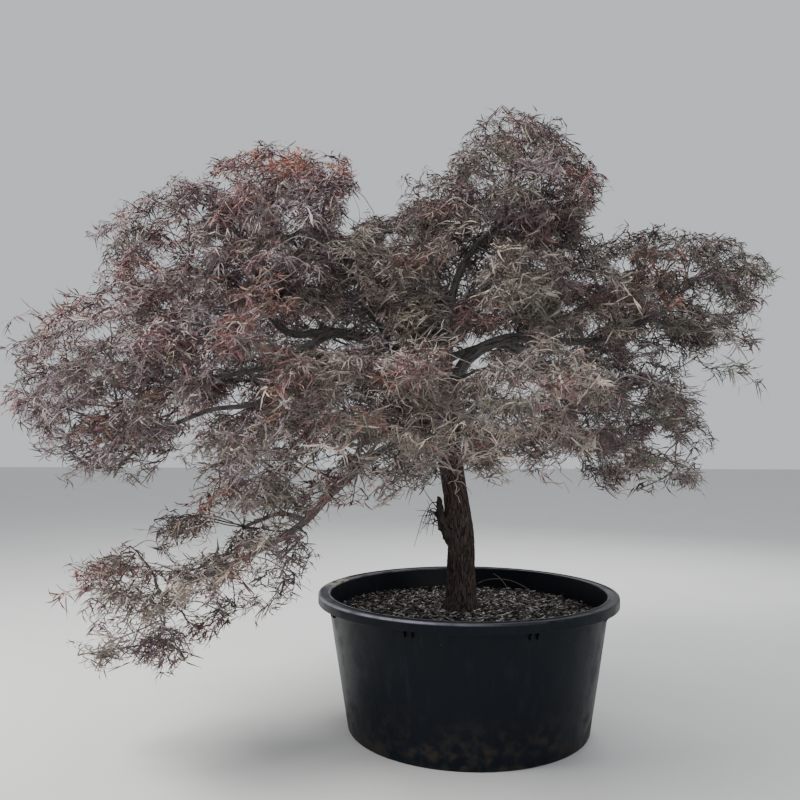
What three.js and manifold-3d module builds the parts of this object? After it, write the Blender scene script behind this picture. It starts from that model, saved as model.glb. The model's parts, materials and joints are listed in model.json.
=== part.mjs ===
// A laceleaf Japanese maple growing in a wide, low nursery pot.
// Sizes are millimetres and +Z is up. The origin is the middle of the pot's flat underside,
// -Y is the side that is usually looked at, and +X is to the right of it.
// Each limb, each mass of foliage, the trunk, the pot and its filling is one closed solid.
import * as THREE from "three";
import { mergeVertices } from "three/addons/utils/BufferGeometryUtils.js";
import Module from "manifold-3d";

const wasm = await Module();
wasm.setup();

// Pot
const POT_HEIGHT = 550;
const RIM_RADIUS = 625;
const WALL_TOP_RADIUS = 586;
const LIP_THICKNESS = 12;
const LIP_BEVEL = 4;
const SKIRT_DROP = 38;
const SKIRT_THICKNESS = 9;
const WALL_THICKNESS = 10;
const FOOT_RADIUS = 500;
const FLOOR_THICKNESS = 12;
const POT_SIDES = 36;

// Bark mulch on potting mix
const FILL_DEPTH_BELOW_RIM = 85;
const FILL_GAP = 0.9;
const MULCH_SETTLE = 10;
const MULCH_EDGE_WIDTH = 120;
const MULCH_EDGE_DIP = 4;
const MULCH_SLOPE_WIDTH = 110;
const TRUNK_PAD_RADIUS = 130;

// Trunk
const TRUNK_OFFSET = -24;
const TRUNK_RADIUS = 60;
const FORK_RADIUS = 46;
const FORK_ROUNDING = 0.62;
const FORK_HEIGHT = 1330;
const TRUNK_BEND_HEIGHT = 760;
const TRUNK_LEAN = -80;
const ROOT_FLARE = 1.3;
const FLARE_HEIGHT = 70;
const BUTTRESSES = 5;
const BUTTRESS_DEPTH = 0.35;
const TRUNK_SIDES = 15;
const TRUNK_RINGS = 12;

// Limbs, twigs and leaves
const GAP = 0.3;
const CORNER_GRID = 0.002;
const FUSING_TOLERANCE = 0.3;
const LIMB_SIDES = 6;
const LIMB_STEP = 170;
const LIMB_TAPER = 0.8;
const TWIG_TIP_RADIUS = 4.6;
const PIPE_POWER = 2.6;
const FORK_SHARE = 0.45;
const STEM_LENGTH = 45;
const LEAF_LENGTH = 270;
const LEAF_SIZES = [1, 0.82, 0.66];
const LEAF_TWIST = 0.9;
const LEAF_THICKNESS = 9;
const LEAF_NOTCH = 0.42;
const LEAF_STALK = 1.05;
const ROOT_COVER = 4;
const LEAF_DROOP = 0.2;
const SPRAY_SPACING = 0.6;
const INNER_SHARE = 0.25;
const MOST_TRIES = 4000;
const PAIR_SETBACK = 70;
const LIMB_CLEARANCE = 6;
const SPACE_MARGIN = 3;
const DETOUR_WEIGHT = 0.42;
const FLATTENING = 1.5;
const GOLDEN = 1.324717957244746;

// Each limb leaves its parent at a share of the parent's length and ends where its foliage begins.
// root and end are its radii, via names the bends of a long limb, and arch is how far a short one
// bows upwards.
const LIMBS = {
  leader: {
    from: "trunk", at: 0.96, root: 30, end: 11, tip: [150, 40, 2130],
    via: [[-40, 10, 1870], [60, 20, 2040]],
  },
  right_limb: {
    from: "trunk", at: 0.97, root: 35, end: 9, tip: [800, 10, 1710],
    via: [[10, -20, 1530], [185, -30, 1612], [390, -20, 1598], [610, 0, 1615]],
  },
  left_limb: {
    from: "trunk", at: 0.93, root: 34, end: 13, tip: [-880, -90, 1800],
    via: [[-300, -50, 1560], [-540, -90, 1636], [-760, -90, 1645]],
  },
  back_limb: { from: "trunk", at: 0.9, via: [[-90, 250, 1590]], tip: [-60, 520, 1760], root: 32, end: 12 },
  front_limb: {
    from: "trunk", at: 0.84, root: 26, end: 11, tip: [-10, -480, 1255],
    via: [[-110, -230, 1240]],
  },
  low_limb: {
    from: "trunk", at: 0.78, root: 24, end: 8, tip: [-1060, -560, 640],
    via: [[-290, -270, 1160], [-490, -390, 1000], [-620, -420, 866], [-820, -460, 745]],
  },
  spur: { from: "trunk", at: 0.3, via: [[-112, -30, 838]], tip: [-126, -32, 930], root: 25, end: 11 },
  tier_limb: {
    from: "left_limb", at: 0.62, root: 19, end: 9, tip: [-930, -320, 1440],
    via: [[-780, -290, 1480]],
  },
  outer_tier_limb: {
    from: "tier_limb", at: 0.3, root: 13, end: 8, tip: [-1170, -390, 1230],
    via: [[-810, -340, 1335], [-1000, -360, 1300]],
  },
  upper_tip_limb: { from: "left_limb", at: 0.86, arch: 50, tip: [-1090, -130, 1880], root: 13, end: 8 },
  mid_left_limb: { from: "left_limb", at: 0.36, arch: 20, tip: [-430, -140, 1740], root: 13, end: 8 },
  centre_limb: { from: "leader", at: 0.34, arch: 20, tip: [-10, -170, 1730], root: 13, end: 8 },
  right_top_limb: { from: "right_limb", at: 0.52, arch: 10, tip: [540, -30, 1770], root: 15, end: 9 },
  right_low_limb: { from: "right_limb", at: 0.5, arch: 30, tip: [560, -130, 1400], root: 15, end: 8 },
  front_left_limb: { from: "front_limb", at: 0.4, arch: 40, tip: [-360, -480, 1180], root: 16, end: 8 },
  hang_top_limb: { from: "low_limb", at: 0.6, arch: 30, tip: [-800, -430, 870], root: 10, end: 7 },
  back_left_limb: { from: "back_limb", at: 0.45, arch: 60, tip: [-440, 520, 1620], root: 19, end: 9 },
  back_right_limb: { from: "back_limb", at: 0.5, arch: 60, tip: [330, 560, 1600], root: 19, end: 9 },
  back_low_limb: { from: "back_limb", at: 0.3, arch: 40, tip: [-120, 680, 1290], root: 16, end: 8 },
  back_left_low_limb: { from: "left_limb", at: 0.42, arch: 40, tip: [-780, 260, 1380], root: 16, end: 8 },
  back_right_low_limb: { from: "right_limb", at: 0.4, arch: 40, tip: [540, 400, 1330], root: 16, end: 8 },
};

// Each mass of foliage grows from one limb and fills its own rounded space.
const MASSES = {
  crown_top: { limb: "leader", middle: [185, 60, 2310], half: [430, 420, 385], sprays: 12 },
  right_inner: { limb: "right_top_limb", middle: [580, -20, 1890], half: [400, 380, 300], sprays: 9 },
  upper_left: { limb: "left_limb", middle: [-770, -60, 2120], half: [480, 430, 380], sprays: 14 },
  back_top: { limb: "back_limb", middle: [-150, 480, 2000], half: [450, 420, 350], sprays: 10 },
  front_centre: { limb: "front_limb", middle: [100, -720, 1320], half: [440, 390, 290], sprays: 9 },
  hang_inner: { limb: "hang_top_limb", middle: [-860, -470, 790], half: [330, 330, 250], sprays: 8 },
  left_tier: { limb: "tier_limb", middle: [-960, -360, 1560], half: [440, 400, 290], sprays: 11 },
  left_outer: { limb: "outer_tier_limb", middle: [-1400, -380, 1400], half: [400, 390, 360], sprays: 11 },
  upper_left_tip: { limb: "upper_tip_limb", middle: [-1260, -120, 2010], half: [330, 340, 300], sprays: 9 },
  mid_left: { limb: "mid_left_limb", middle: [-390, -130, 1890], half: [370, 380, 300], sprays: 9 },
  centre: { limb: "centre_limb", middle: [40, -240, 1800], half: [400, 340, 300], sprays: 9 },
  right_outer: { limb: "right_limb", middle: [960, 20, 1850], half: [310, 350, 290], sprays: 9 },
  right_low: { limb: "right_low_limb", middle: [660, -130, 1300], half: [420, 370, 340], sprays: 9 },
  front_left: { limb: "front_left_limb", middle: [-500, -700, 1240], half: [450, 390, 310], sprays: 9 },
  hang_tip: { limb: "low_limb", middle: [-1190, -580, 580], half: [320, 300, 240], sprays: 8 },
  back_left: { limb: "back_left_limb", middle: [-680, 600, 1780], half: [470, 440, 340], sprays: 9 },
  back_right: { limb: "back_right_limb", middle: [520, 650, 1790], half: [460, 430, 340], sprays: 9 },
  back_low: { limb: "back_low_limb", middle: [-120, 920, 1330], half: [460, 380, 320], sprays: 8 },
  back_left_low: { limb: "back_left_low_limb", middle: [-960, 340, 1340], half: [420, 400, 320], sprays: 8 },
  back_right_low: { limb: "back_right_low_limb", middle: [700, 560, 1280], half: [400, 400, 310], sprays: 9 },
};

const point = (xyz) => new THREE.Vector3(...xyz);
const UP = point([0, 0, 1]);

// Numbers from 0 to 1 that come in the same order each time for one seed word.
function dice(word) {
  let state = 2166136261;
  for (const letter of word) state = Math.imul(state ^ letter.charCodeAt(0), 16777619);
  return () => {
    state = (state + 0x6d2b79f5) | 0;
    let mixed = Math.imul(state ^ (state >>> 15), 1 | state);
    mixed = (mixed + Math.imul(mixed ^ (mixed >>> 7), 61 | mixed)) ^ mixed;
    return ((mixed ^ (mixed >>> 14)) >>> 0) / 4294967296;
  };
}

function solidOf(geometry) {
  const bare = geometry.index ? geometry.toNonIndexed() : geometry;
  const merged = mergeVertices(
    new THREE.BufferGeometry().setAttribute("position", bare.getAttribute("position")),
    1e-3,
  );
  return new wasm.Manifold(
    new wasm.Mesh({
      numProp: 3,
      vertProperties: merged.getAttribute("position").array,
      triVerts: new Uint32Array(merged.index.array),
    }),
  );
}

// A solid's faces, with its corners moved onto a fine grid so that the shortest edges close up.
function geometryOf(solid) {
  const mesh = solid.getMesh();
  const places = Array.from({ length: mesh.numVert * 3 }, (_, i) => {
    const value = mesh.vertProperties[Math.floor(i / 3) * mesh.numProp + (i % 3)];
    return Math.round(value / CORNER_GRID) * CORNER_GRID;
  });
  const loose = new THREE.BufferGeometry();
  loose.setAttribute("position", new THREE.Float32BufferAttribute(places, 3));
  loose.setIndex(Array.from(mesh.triVerts));
  const geometry = mergeVertices(loose, CORNER_GRID / 10);
  const corners = geometry.index.array;
  const faces = [];
  for (let i = 0; i < corners.length; i += 3) {
    const face = [corners[i], corners[i + 1], corners[i + 2]];
    if (new Set(face).size === 3) faces.push(...face);
  }
  geometry.setIndex(faces);
  const faceted = geometry.toNonIndexed();
  faceted.computeVertexNormals();
  return faceted;
}

// The largest of the pieces that a cut leaves, so that no loose scrap stays.
function largestOf(solid) {
  return solid.decompose().reduce((best, next) => (next.volume() > best.volume() ? next : best));
}

// A closed skin over rings of points, with a flat cap on each end.
function skinOver(rings) {
  const sides = rings[0].length;
  const last = (rings.length - 1) * sides;
  const faces = [];
  for (let side = 0; side < sides; side += 1) {
    const next = (side + 1) % sides;
    for (let low = 0; low < last; low += sides) {
      faces.push(low + side, low + next, low + sides + next);
      faces.push(low + side, low + sides + next, low + sides + side);
    }
    if (side > 1) {
      faces.push(0, side, side - 1);
      faces.push(last, last + side - 1, last + side);
    }
  }
  const geometry = new THREE.BufferGeometry().setFromPoints(rings.flat());
  geometry.setIndex(faces);
  return geometry;
}

// Rings at given places, each square to its tangent and turned no further than the bend needs.
function ringsThrough(stations, sides, radiusAt) {
  const normal = new THREE.Vector3(0.3, -0.9, 0.1);
  return stations.map(({ place, tangent }, i) => {
    normal.addScaledVector(tangent, -normal.dot(tangent)).normalize();
    const across = new THREE.Vector3().crossVectors(tangent, normal);
    return Array.from({ length: sides }, (_, side) => {
      const angle = (2 * Math.PI * side) / sides;
      const radius = radiusAt(i, angle);
      return place
        .clone()
        .addScaledVector(normal, radius * Math.cos(angle))
        .addScaledVector(across, radius * Math.sin(angle));
    });
  });
}

// Rings evenly along a curve; the last one may run on past its end.
function tubeAlong(curve, count, sides, radiusAt, overrun = 0) {
  const shares = Array.from({ length: count }, (_, i) => i / (count - 1));
  const stations = shares.map((share) => {
    return { place: curve.getPointAt(share), tangent: curve.getTangentAt(share) };
  });
  const { place, tangent } = stations.at(-1);
  place.addScaledVector(tangent, overrun);
  return ringsThrough(stations, sides, (i, angle) => radiusAt(shares[i], angle));
}

// The wall widens upwards into a flat lip that turns down at its outer edge.
function potGeometry() {
  const profile = [
    [0, 0],
    [FOOT_RADIUS, 0],
    [WALL_TOP_RADIUS, POT_HEIGHT - LIP_THICKNESS],
    [RIM_RADIUS - SKIRT_THICKNESS, POT_HEIGHT - LIP_THICKNESS],
    [RIM_RADIUS - SKIRT_THICKNESS, POT_HEIGHT - SKIRT_DROP],
    [RIM_RADIUS, POT_HEIGHT - SKIRT_DROP],
    [RIM_RADIUS, POT_HEIGHT - LIP_BEVEL],
    [RIM_RADIUS - LIP_BEVEL, POT_HEIGHT],
    [WALL_TOP_RADIUS - WALL_THICKNESS, POT_HEIGHT],
    [FOOT_RADIUS - WALL_THICKNESS, FLOOR_THICKNESS],
    [0, FLOOR_THICKNESS],
  ].map(([radius, height]) => new THREE.Vector2(radius, height));
  return new THREE.LatheGeometry(profile, POT_SIDES).rotateX(Math.PI / 2);
}

// Potting mix with bark mulch on it: the trunk stands on a flat pad, and the rest has settled.
function fillingGeometry() {
  const foot = FOOT_RADIUS - WALL_THICKNESS - FILL_GAP;
  const mouth = WALL_TOP_RADIUS - WALL_THICKNESS - FILL_GAP;
  const innerAt = (height) => THREE.MathUtils.mapLinear(height, FLOOR_THICKNESS, POT_HEIGHT, foot, mouth);
  const top = POT_HEIGHT - FILL_DEPTH_BELOW_RIM;
  const bottom = FLOOR_THICKNESS + GAP;
  const edge = top - MULCH_SETTLE;
  const profile = [
    [0, bottom],
    [innerAt(bottom), bottom],
    [innerAt(edge), edge],
    [innerAt(edge) - MULCH_EDGE_WIDTH, edge - MULCH_EDGE_DIP],
    [TRUNK_PAD_RADIUS + MULCH_SLOPE_WIDTH, top - MULCH_SETTLE / 2],
    [TRUNK_PAD_RADIUS, top],
    [0, top],
  ].map(([radius, height]) => new THREE.Vector2(radius, height));
  return new THREE.LatheGeometry(profile, POT_SIDES).rotateX(Math.PI / 2);
}

// The trunk rises straight to its bend and then leans over to the fork.
const trunkFoot = POT_HEIGHT - FILL_DEPTH_BELOW_RIM + GAP;
const trunkCurve = new THREE.CatmullRomCurve3([
  point([TRUNK_OFFSET, 0, trunkFoot]),
  point([TRUNK_OFFSET, 0, (trunkFoot + TRUNK_BEND_HEIGHT) / 2]),
  point([TRUNK_OFFSET, 0, TRUNK_BEND_HEIGHT]),
  point([TRUNK_OFFSET + 0.45 * TRUNK_LEAN, 0, (TRUNK_BEND_HEIGHT + FORK_HEIGHT) / 2]),
  point([TRUNK_OFFSET + TRUNK_LEAN, 0, FORK_HEIGHT]),
]);

function trunkRadius(share, angle, grow = 0) {
  const rounding = share < 1 ? 1 : FORK_ROUNDING;
  const taper = rounding * THREE.MathUtils.lerp(TRUNK_RADIUS, FORK_RADIUS, share ** 1.3);
  const aboveFoot = share * trunkCurve.getLength();
  const flare = (ROOT_FLARE - 1) * Math.exp(-aboveFoot / FLARE_HEIGHT);
  const buttress = 1 + BUTTRESS_DEPTH * Math.cos(BUTTRESSES * angle);
  return taper * (1 + flare * buttress) + grow;
}

function trunkSolid(grow = 0) {
  const radiusAt = (share, angle) => trunkRadius(share, angle, grow);
  const rings = tubeAlong(trunkCurve, TRUNK_RINGS, TRUNK_SIDES, radiusAt, grow);
  for (const corner of rings[0]) corner.z = trunkFoot;
  return solidOf(skinOver(rings));
}

// Every limb as its curve and its radius at a share of its length, the trunk among them.
const limbs = { trunk: { curve: trunkCurve, radiusAt: (share) => trunkRadius(share, 0) } };

for (const [name, { from, at, via, arch = 0, tip, root, end }] of Object.entries(LIMBS)) {
  const start = limbs[from].curve.getPointAt(at);
  const finish = point(tip);
  const bends = via ? via.map(point) : [start.clone().lerp(finish, 0.5).addScaledVector(UP, arch)];
  limbs[name] = {
    curve: new THREE.CatmullRomCurve3([start, ...bends, finish]),
    radiusAt: (share) => THREE.MathUtils.lerp(root, end, share ** LIMB_TAPER),
  };
}

function limbSolid(name, grow = 0) {
  const { curve, radiusAt } = limbs[name];
  const count = Math.max(4, Math.round(curve.getLength() / LIMB_STEP) + 1);
  return solidOf(skinOver(tubeAlong(curve, count, LIMB_SIDES, (share) => radiusAt(share) + grow, grow)));
}

// The trunk and all limbs in one, stouter than they are by the room that foliage leaves them.
const wood = wasm.Manifold.union([
  trunkSolid(LIMB_CLEARANCE),
  ...Object.keys(LIMBS).map((name) => limbSolid(name, LIMB_CLEARANCE)),
]);

// How far a place lies from a mass's middle, less the mass's own reach. Neighbouring masses meet
// in the plane where the two are equal, so each keeps to its own side.
function pull(mass, place) {
  const [x, y, z] = mass.middle;
  const reach = (mass.half[0] + mass.half[1] + mass.half[2] * FLATTENING) / 3;
  const dz = (place.z - z) * FLATTENING;
  return (place.x - x) ** 2 + (place.y - y) ** 2 + dz ** 2 - reach ** 2;
}

function onOwnSide(name, place, margin) {
  const own = pull(MASSES[name], place);
  return Object.entries(MASSES).every(([other, rival]) => {
    const apart = point(MASSES[name].middle).distanceTo(point(rival.middle));
    return other === name || pull(rival, place) - own > 2 * margin * apart;
  });
}

function insideSpace(name, place) {
  const { middle, half } = MASSES[name];
  const offset = place.clone().sub(point(middle)).divide(point(half));
  return offset.length() < 1 && onOwnSide(name, place, SPACE_MARGIN);
}

// A leaf with three long lobes, as a thin blade that is thickest where the lobes meet.
const LEAF_OUTLINE = [
  [-52, 0.9],
  [-26, LEAF_NOTCH],
  [0, 1],
  [26, LEAF_NOTCH],
  [52, 0.9],
  [180, LEAF_STALK],
].map(([degrees, reach]) => [THREE.MathUtils.degToRad(degrees), reach]);

function leafBlade(root, heading, twist, length) {
  const ahead = heading.clone().normalize();
  const across = new THREE.Vector3().crossVectors(UP, ahead).normalize().applyAxisAngle(ahead, twist);
  const above = new THREE.Vector3().crossVectors(ahead, across);
  const scale = length / (1 + LEAF_STALK);
  const heart = root
    .clone()
    .addScaledVector(ahead, LEAF_STALK * scale)
    .addScaledVector(above, LEAF_DROOP * LEAF_STALK ** 2 * scale);
  const outline = LEAF_OUTLINE.map(([angle, reach]) =>
    heart
      .clone()
      .addScaledVector(ahead, Math.cos(angle) * reach * scale)
      .addScaledVector(across, Math.sin(angle) * reach * scale)
      .addScaledVector(above, -LEAF_DROOP * reach * reach * scale),
  );
  const peaks = [0.5, -0.5].map((side) => heart.clone().addScaledVector(above, side * LEAF_THICKNESS));
  return { outline, peaks };
}

function leafSolid({ outline, peaks }) {
  const top = outline.length;
  const faces = Array.from({ length: top }, (_, i) => {
    const next = (i + 1) % top;
    return [top, i, next, top + 1, next, i];
  });
  const geometry = new THREE.BufferGeometry().setFromPoints([...outline, ...peaks]);
  geometry.setIndex(faces.flat());
  return solidOf(geometry);
}

// The largest leaf that has room at a root, if one has. It may touch no limb and no leaf grown
// before it on another twig.
function leafThatFits(name, root, heading, roll, grown) {
  const twist = LEAF_TWIST * (2 * roll() - 1);
  const length = LEAF_LENGTH * (0.85 + 0.3 * roll());
  for (const share of LEAF_SIZES) {
    const blade = leafBlade(root, heading, twist, length * share);
    if (!blade.outline.every((corner) => insideSpace(name, corner))) continue;
    const solid = leafSolid(blade);
    if ([wood, ...grown].every((other) => other.intersect(solid).isEmpty())) return solid;
  }
  return null;
}

// The tips of the sprays: places spread evenly by a golden-ratio sequence, thicker towards the
// outside, each far enough from the others and with room for the leaf at its end.
function sprayTips(name) {
  const { middle, half, limb, sprays } = MASSES[name];
  const foot = limbs[limb].curve.getPointAt(1);
  const roll = dice(name);
  const spacing = SPRAY_SPACING * Math.cbrt((half[0] * half[1] * half[2] * 4) / sprays);
  const tips = [];
  for (let i = 0; i < MOST_TRIES && tips.length < sprays; i += 1) {
    const turn = 2 * Math.PI * ((i / GOLDEN) % 1);
    const lift = 2 * ((i / GOLDEN ** 2) % 1) - 1;
    const flat = Math.sqrt(1 - lift * lift);
    const place = new THREE.Vector3(flat * Math.cos(turn), flat * Math.sin(turn), lift)
      .multiplyScalar(THREE.MathUtils.lerp(INNER_SHARE, 1, Math.sqrt(roll())))
      .multiply(point(half))
      .add(point(middle));
    const heading = place.clone().sub(foot).setZ(0).normalize();
    heading.applyAxisAngle(UP, (roll() - 0.5) * 1.1).setZ(0.4 * lift - 0.3 - 0.7 * roll());
    const apart = tips.every((tip) => tip.place.distanceTo(place) > spacing);
    if (!apart || !insideSpace(name, place)) continue;
    const leaf = leafThatFits(name, place, heading, roll, tips.map((tip) => tip.leaf));
    if (leaf) tips.push({ place, leaf });
  }
  return tips;
}

// A straight piece of twig, as stout as most are, for testing its way.
function twigBetween(start, end) {
  const tangent = end.clone().sub(start).normalize();
  const stations = [start, end].map((place) => ({ place, tangent }));
  return solidOf(skinOver(ringsThrough(stations, 3, () => 2 * TWIG_TIP_RADIUS)));
}

// Twigs join the tips: nearest first, each to the joint that gives the shortest way, counting
// part of the way back to the stem's foot, so that twigs fork instead of doubling back.
function joinTips(name, tips) {
  const { curve } = limbs[MASSES[name].limb];
  const outward = curve.getTangentAt(1);
  const foot = curve.getPointAt(1).addScaledVector(outward, GAP);
  const stem = foot.clone().addScaledVector(outward, STEM_LENGTH);
  const joints = [
    { place: foot, parent: null, way: 0, tips: 0 },
    { place: stem, way: STEM_LENGTH, tips: 0 },
  ];
  joints[1].parent = joints[0];
  const ordered = [...tips].sort((a, b) => a.place.distanceTo(stem) - b.place.distanceTo(stem));
  for (const tip of ordered) {
    const costOf = (joint) => joint.place.distanceTo(tip.place) + DETOUR_WEIGHT * joint.way;
    const parent = joints
      .slice(1)
      .sort((a, b) => costOf(a) - costOf(b))
      .find(({ place }) => twigBetween(place, tip.place).intersect(wood).isEmpty());
    if (!parent) continue;
    const way = parent.way + parent.place.distanceTo(tip.place);
    joints.push({ place: tip.place, parent, way, tips: 1, leaf: tip.leaf });
  }
  for (const joint of joints.slice(1).reverse()) joint.parent.tips += joint.tips;
  return joints;
}

// Each twig runs on in one piece through its joints to a tip; the others fork off from inside it.
function twigSolids(joints, limbEnd) {
  const radiusOf = ({ tips }) => Math.min(limbEnd, TWIG_TIP_RADIUS * Math.max(1, tips) ** (1 / PIPE_POWER));
  const strands = [];
  for (const joint of joints.slice(1)) {
    const open = strands.find((strand) => strand.at(-1) === joint.parent);
    if (open) open.push(joint);
    else strands.push([joint.parent, joint]);
  }
  return strands.map((strand) => {
    const stations = strand.map(({ place }, i) => {
      const before = (strand[i - 1] ?? strand[i]).place;
      const after = (strand[i + 1] ?? strand[i]).place;
      const tangent = after.clone().sub(before).normalize();
      const cover = i === strand.length - 1 ? ROOT_COVER : 0;
      return { place: place.clone().addScaledVector(tangent, cover), tangent };
    });
    const forksOff = strand[0] !== joints[0];
    const radiusAt = (i) => (i === 0 && forksOff ? FORK_SHARE : 1) * radiusOf(strand[i]);
    return solidOf(skinOver(ringsThrough(stations, 3, radiusAt)));
  });
}

// A pair of leaves stands opposite each other on the last length of a twig.
function leafPair(name, { place, parent }, roll, grown) {
  const along = place.clone().sub(parent.place).normalize();
  const back = Math.min(PAIR_SETBACK, 0.45 * place.distanceTo(parent.place));
  const root = place.clone().addScaledVector(along, -back);
  return [-1, 1]
    .map((side) => {
      const heading = along.clone().setZ(0.5 * along.z).normalize();
      heading.applyAxisAngle(UP, side * (1 + 0.4 * roll())).setZ(heading.z - 0.3 - 0.7 * roll());
      return leafThatFits(name, root, heading, roll, grown);
    })
    .filter((leaf) => leaf);
}

function massSolid(name) {
  const roll = dice(`${name} pairs`);
  const joints = joinTips(name, sprayTips(name));
  const leaves = joints.slice(2).map((joint) => joint.leaf);
  for (const joint of joints.slice(2)) leaves.push(...leafPair(name, joint, roll, leaves));
  const twigs = twigSolids(joints, limbs[MASSES[name].limb].radiusAt(1));
  return largestOf(wasm.Manifold.union([...twigs, ...leaves]).asOriginal().simplify(FUSING_TOLERANCE));
}

const material = (colour, roughness) =>
  new THREE.MeshStandardMaterial({ color: colour, roughness, metalness: 0 });
const blackPlastic = material(0x14161a, 0.45);
const barkMulch = material(0x5c4b3a, 0.95);
const trunkBark = material(0x4a3830, 0.9);
const limbBark = material(0x55504c, 0.85);
const foliage = material(0x4d302e, 0.8);

const maple = new THREE.Group();

function addNode(name, solid, finish) {
  const mesh = new THREE.Mesh(geometryOf(solid), finish);
  mesh.name = name;
  maple.add(mesh);
}

addNode("pot", solidOf(potGeometry()), blackPlastic);
addNode("mulch", solidOf(fillingGeometry()), barkMulch);
addNode("trunk", trunkSolid(), trunkBark);

// A limb is cut back to the skin of everything made before it, so that each rests on its parent.
const grown = [trunkSolid(GAP)];
for (const name of Object.keys(LIMBS)) {
  const cut = grown.reduce((left, earlier) => left.subtract(earlier), limbSolid(name));
  addNode(name, largestOf(cut), limbBark);
  grown.push(limbSolid(name, GAP));
}

for (const name of Object.keys(MASSES)) addNode(`${name}_foliage`, massSolid(name), foliage);

export default maple;
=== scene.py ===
# A laceleaf maple in late autumn, growing in a wide nursery pot. Lengths are metres and +Z is up.
# The side that the photograph shows faces -Y.
import json
import math
import zlib

import bpy
import numpy as np
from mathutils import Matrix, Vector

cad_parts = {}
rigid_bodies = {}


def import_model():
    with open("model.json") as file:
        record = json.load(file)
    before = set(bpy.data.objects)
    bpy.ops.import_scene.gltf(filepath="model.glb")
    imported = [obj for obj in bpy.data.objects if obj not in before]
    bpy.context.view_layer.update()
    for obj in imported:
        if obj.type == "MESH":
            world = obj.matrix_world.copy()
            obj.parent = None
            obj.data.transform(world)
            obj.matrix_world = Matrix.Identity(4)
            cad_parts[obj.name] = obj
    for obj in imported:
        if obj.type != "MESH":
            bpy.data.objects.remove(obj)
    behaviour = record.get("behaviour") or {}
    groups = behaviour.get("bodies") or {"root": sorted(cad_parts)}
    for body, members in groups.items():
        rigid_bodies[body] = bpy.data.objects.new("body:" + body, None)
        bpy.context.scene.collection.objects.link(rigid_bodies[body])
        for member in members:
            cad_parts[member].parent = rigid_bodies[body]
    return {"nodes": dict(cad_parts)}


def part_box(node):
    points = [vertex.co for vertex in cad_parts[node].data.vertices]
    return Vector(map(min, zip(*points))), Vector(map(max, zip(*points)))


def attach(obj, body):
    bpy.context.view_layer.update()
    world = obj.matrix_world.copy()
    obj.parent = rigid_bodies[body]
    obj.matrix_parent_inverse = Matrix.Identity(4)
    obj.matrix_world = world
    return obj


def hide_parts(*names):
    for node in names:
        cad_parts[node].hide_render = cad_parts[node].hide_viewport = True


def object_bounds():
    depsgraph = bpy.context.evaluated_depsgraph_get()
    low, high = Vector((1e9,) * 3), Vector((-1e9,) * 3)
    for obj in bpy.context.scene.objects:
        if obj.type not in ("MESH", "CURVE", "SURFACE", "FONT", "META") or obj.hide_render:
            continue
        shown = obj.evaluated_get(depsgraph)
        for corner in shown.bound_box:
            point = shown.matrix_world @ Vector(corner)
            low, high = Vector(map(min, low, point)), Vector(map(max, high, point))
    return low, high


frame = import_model()
cad_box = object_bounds()

# The pot
# A low nursery container, 1.25 m across, moulded in black polyethylene. Its wall widens upwards to a
# flat lip that turns down at the outer edge. The lip is dusty and has a pale yellowish patch on its far
# left. Painted highlights and glints lie along its edges on the left.
POT_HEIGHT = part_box("pot")[1].z
RIM_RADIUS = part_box("pot")[1].x
WALL_TOP_RADIUS = 0.586
WALL_THICKNESS = 0.010
LIP_THICKNESS = 0.012
SKIRT_DROP = 0.038
SKIRT_THICKNESS = 0.009
LIP_BEAD = 0.012
LIP_DISH = 0.003
FOOT_RADIUS = 0.500
FLOOR_THICKNESS = 0.012
LIP_INNER_RADIUS = WALL_TOP_RADIUS - WALL_THICKNESS
POT_SIDES = 200
LONGEST_POT_STEP = 0.035
POT_WARP = 0.0008
POT_WARP_SCALE = 5.0
ARC_GUARD = 0.0006
ARC_STEPS = 6
LIP_LEVELS = (POT_HEIGHT - 0.010, POT_HEIGHT - 0.003)
LEFT_SIDE = (-0.45, 0.25)
PALE_PATCH_LEFT = (-0.54, -0.44)
PALE_PATCH_FRONT = (0.00, 0.05)
PALE_PATCH_BACK = (0.20, 0.30)
SPLASH_LEVELS = (0.01, 0.24)
BLACK_PLASTIC = (0.0020, 0.0045, 0.0082)
SCUFFED_PLASTIC = (0.009, 0.014, 0.020)
DUST_COLOUR = (0.18, 0.185, 0.205)
EDGE_HIGHLIGHT_COLOUR = (0.53, 0.51, 0.60)
GLINT_COLOUR = (0.62, 0.66, 0.70)
PALE_PATCH_COLOUR = (0.56, 0.53, 0.38)
SOIL_COLOUR = (0.060, 0.045, 0.034)


def rough(points, seed):
    """Smooth noise from -1 to 1 at some points, with waves about two units long."""
    cell = np.floor(points).astype(np.int64)
    part = points - cell
    part = part * part * (3 - 2 * part)
    total = np.zeros(points.shape[:-1])
    for corner in np.ndindex(2, 2, 2):
        x, y, z = np.moveaxis(cell + corner, -1, 0)
        mixed = (x * 73856093) ^ (y * 19349663) ^ (z * 83492791) ^ (seed * 2654435761)
        mixed = ((mixed ^ (mixed >> 13)) * 1274126177) & 0xFFFFFFFF
        mixed = (mixed ^ (mixed >> 16)) & 0xFFFF
        weight = np.prod(np.where(corner, part, 1 - part), axis=-1)
        total += weight * (mixed / 32767.5 - 1)
    return total


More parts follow.
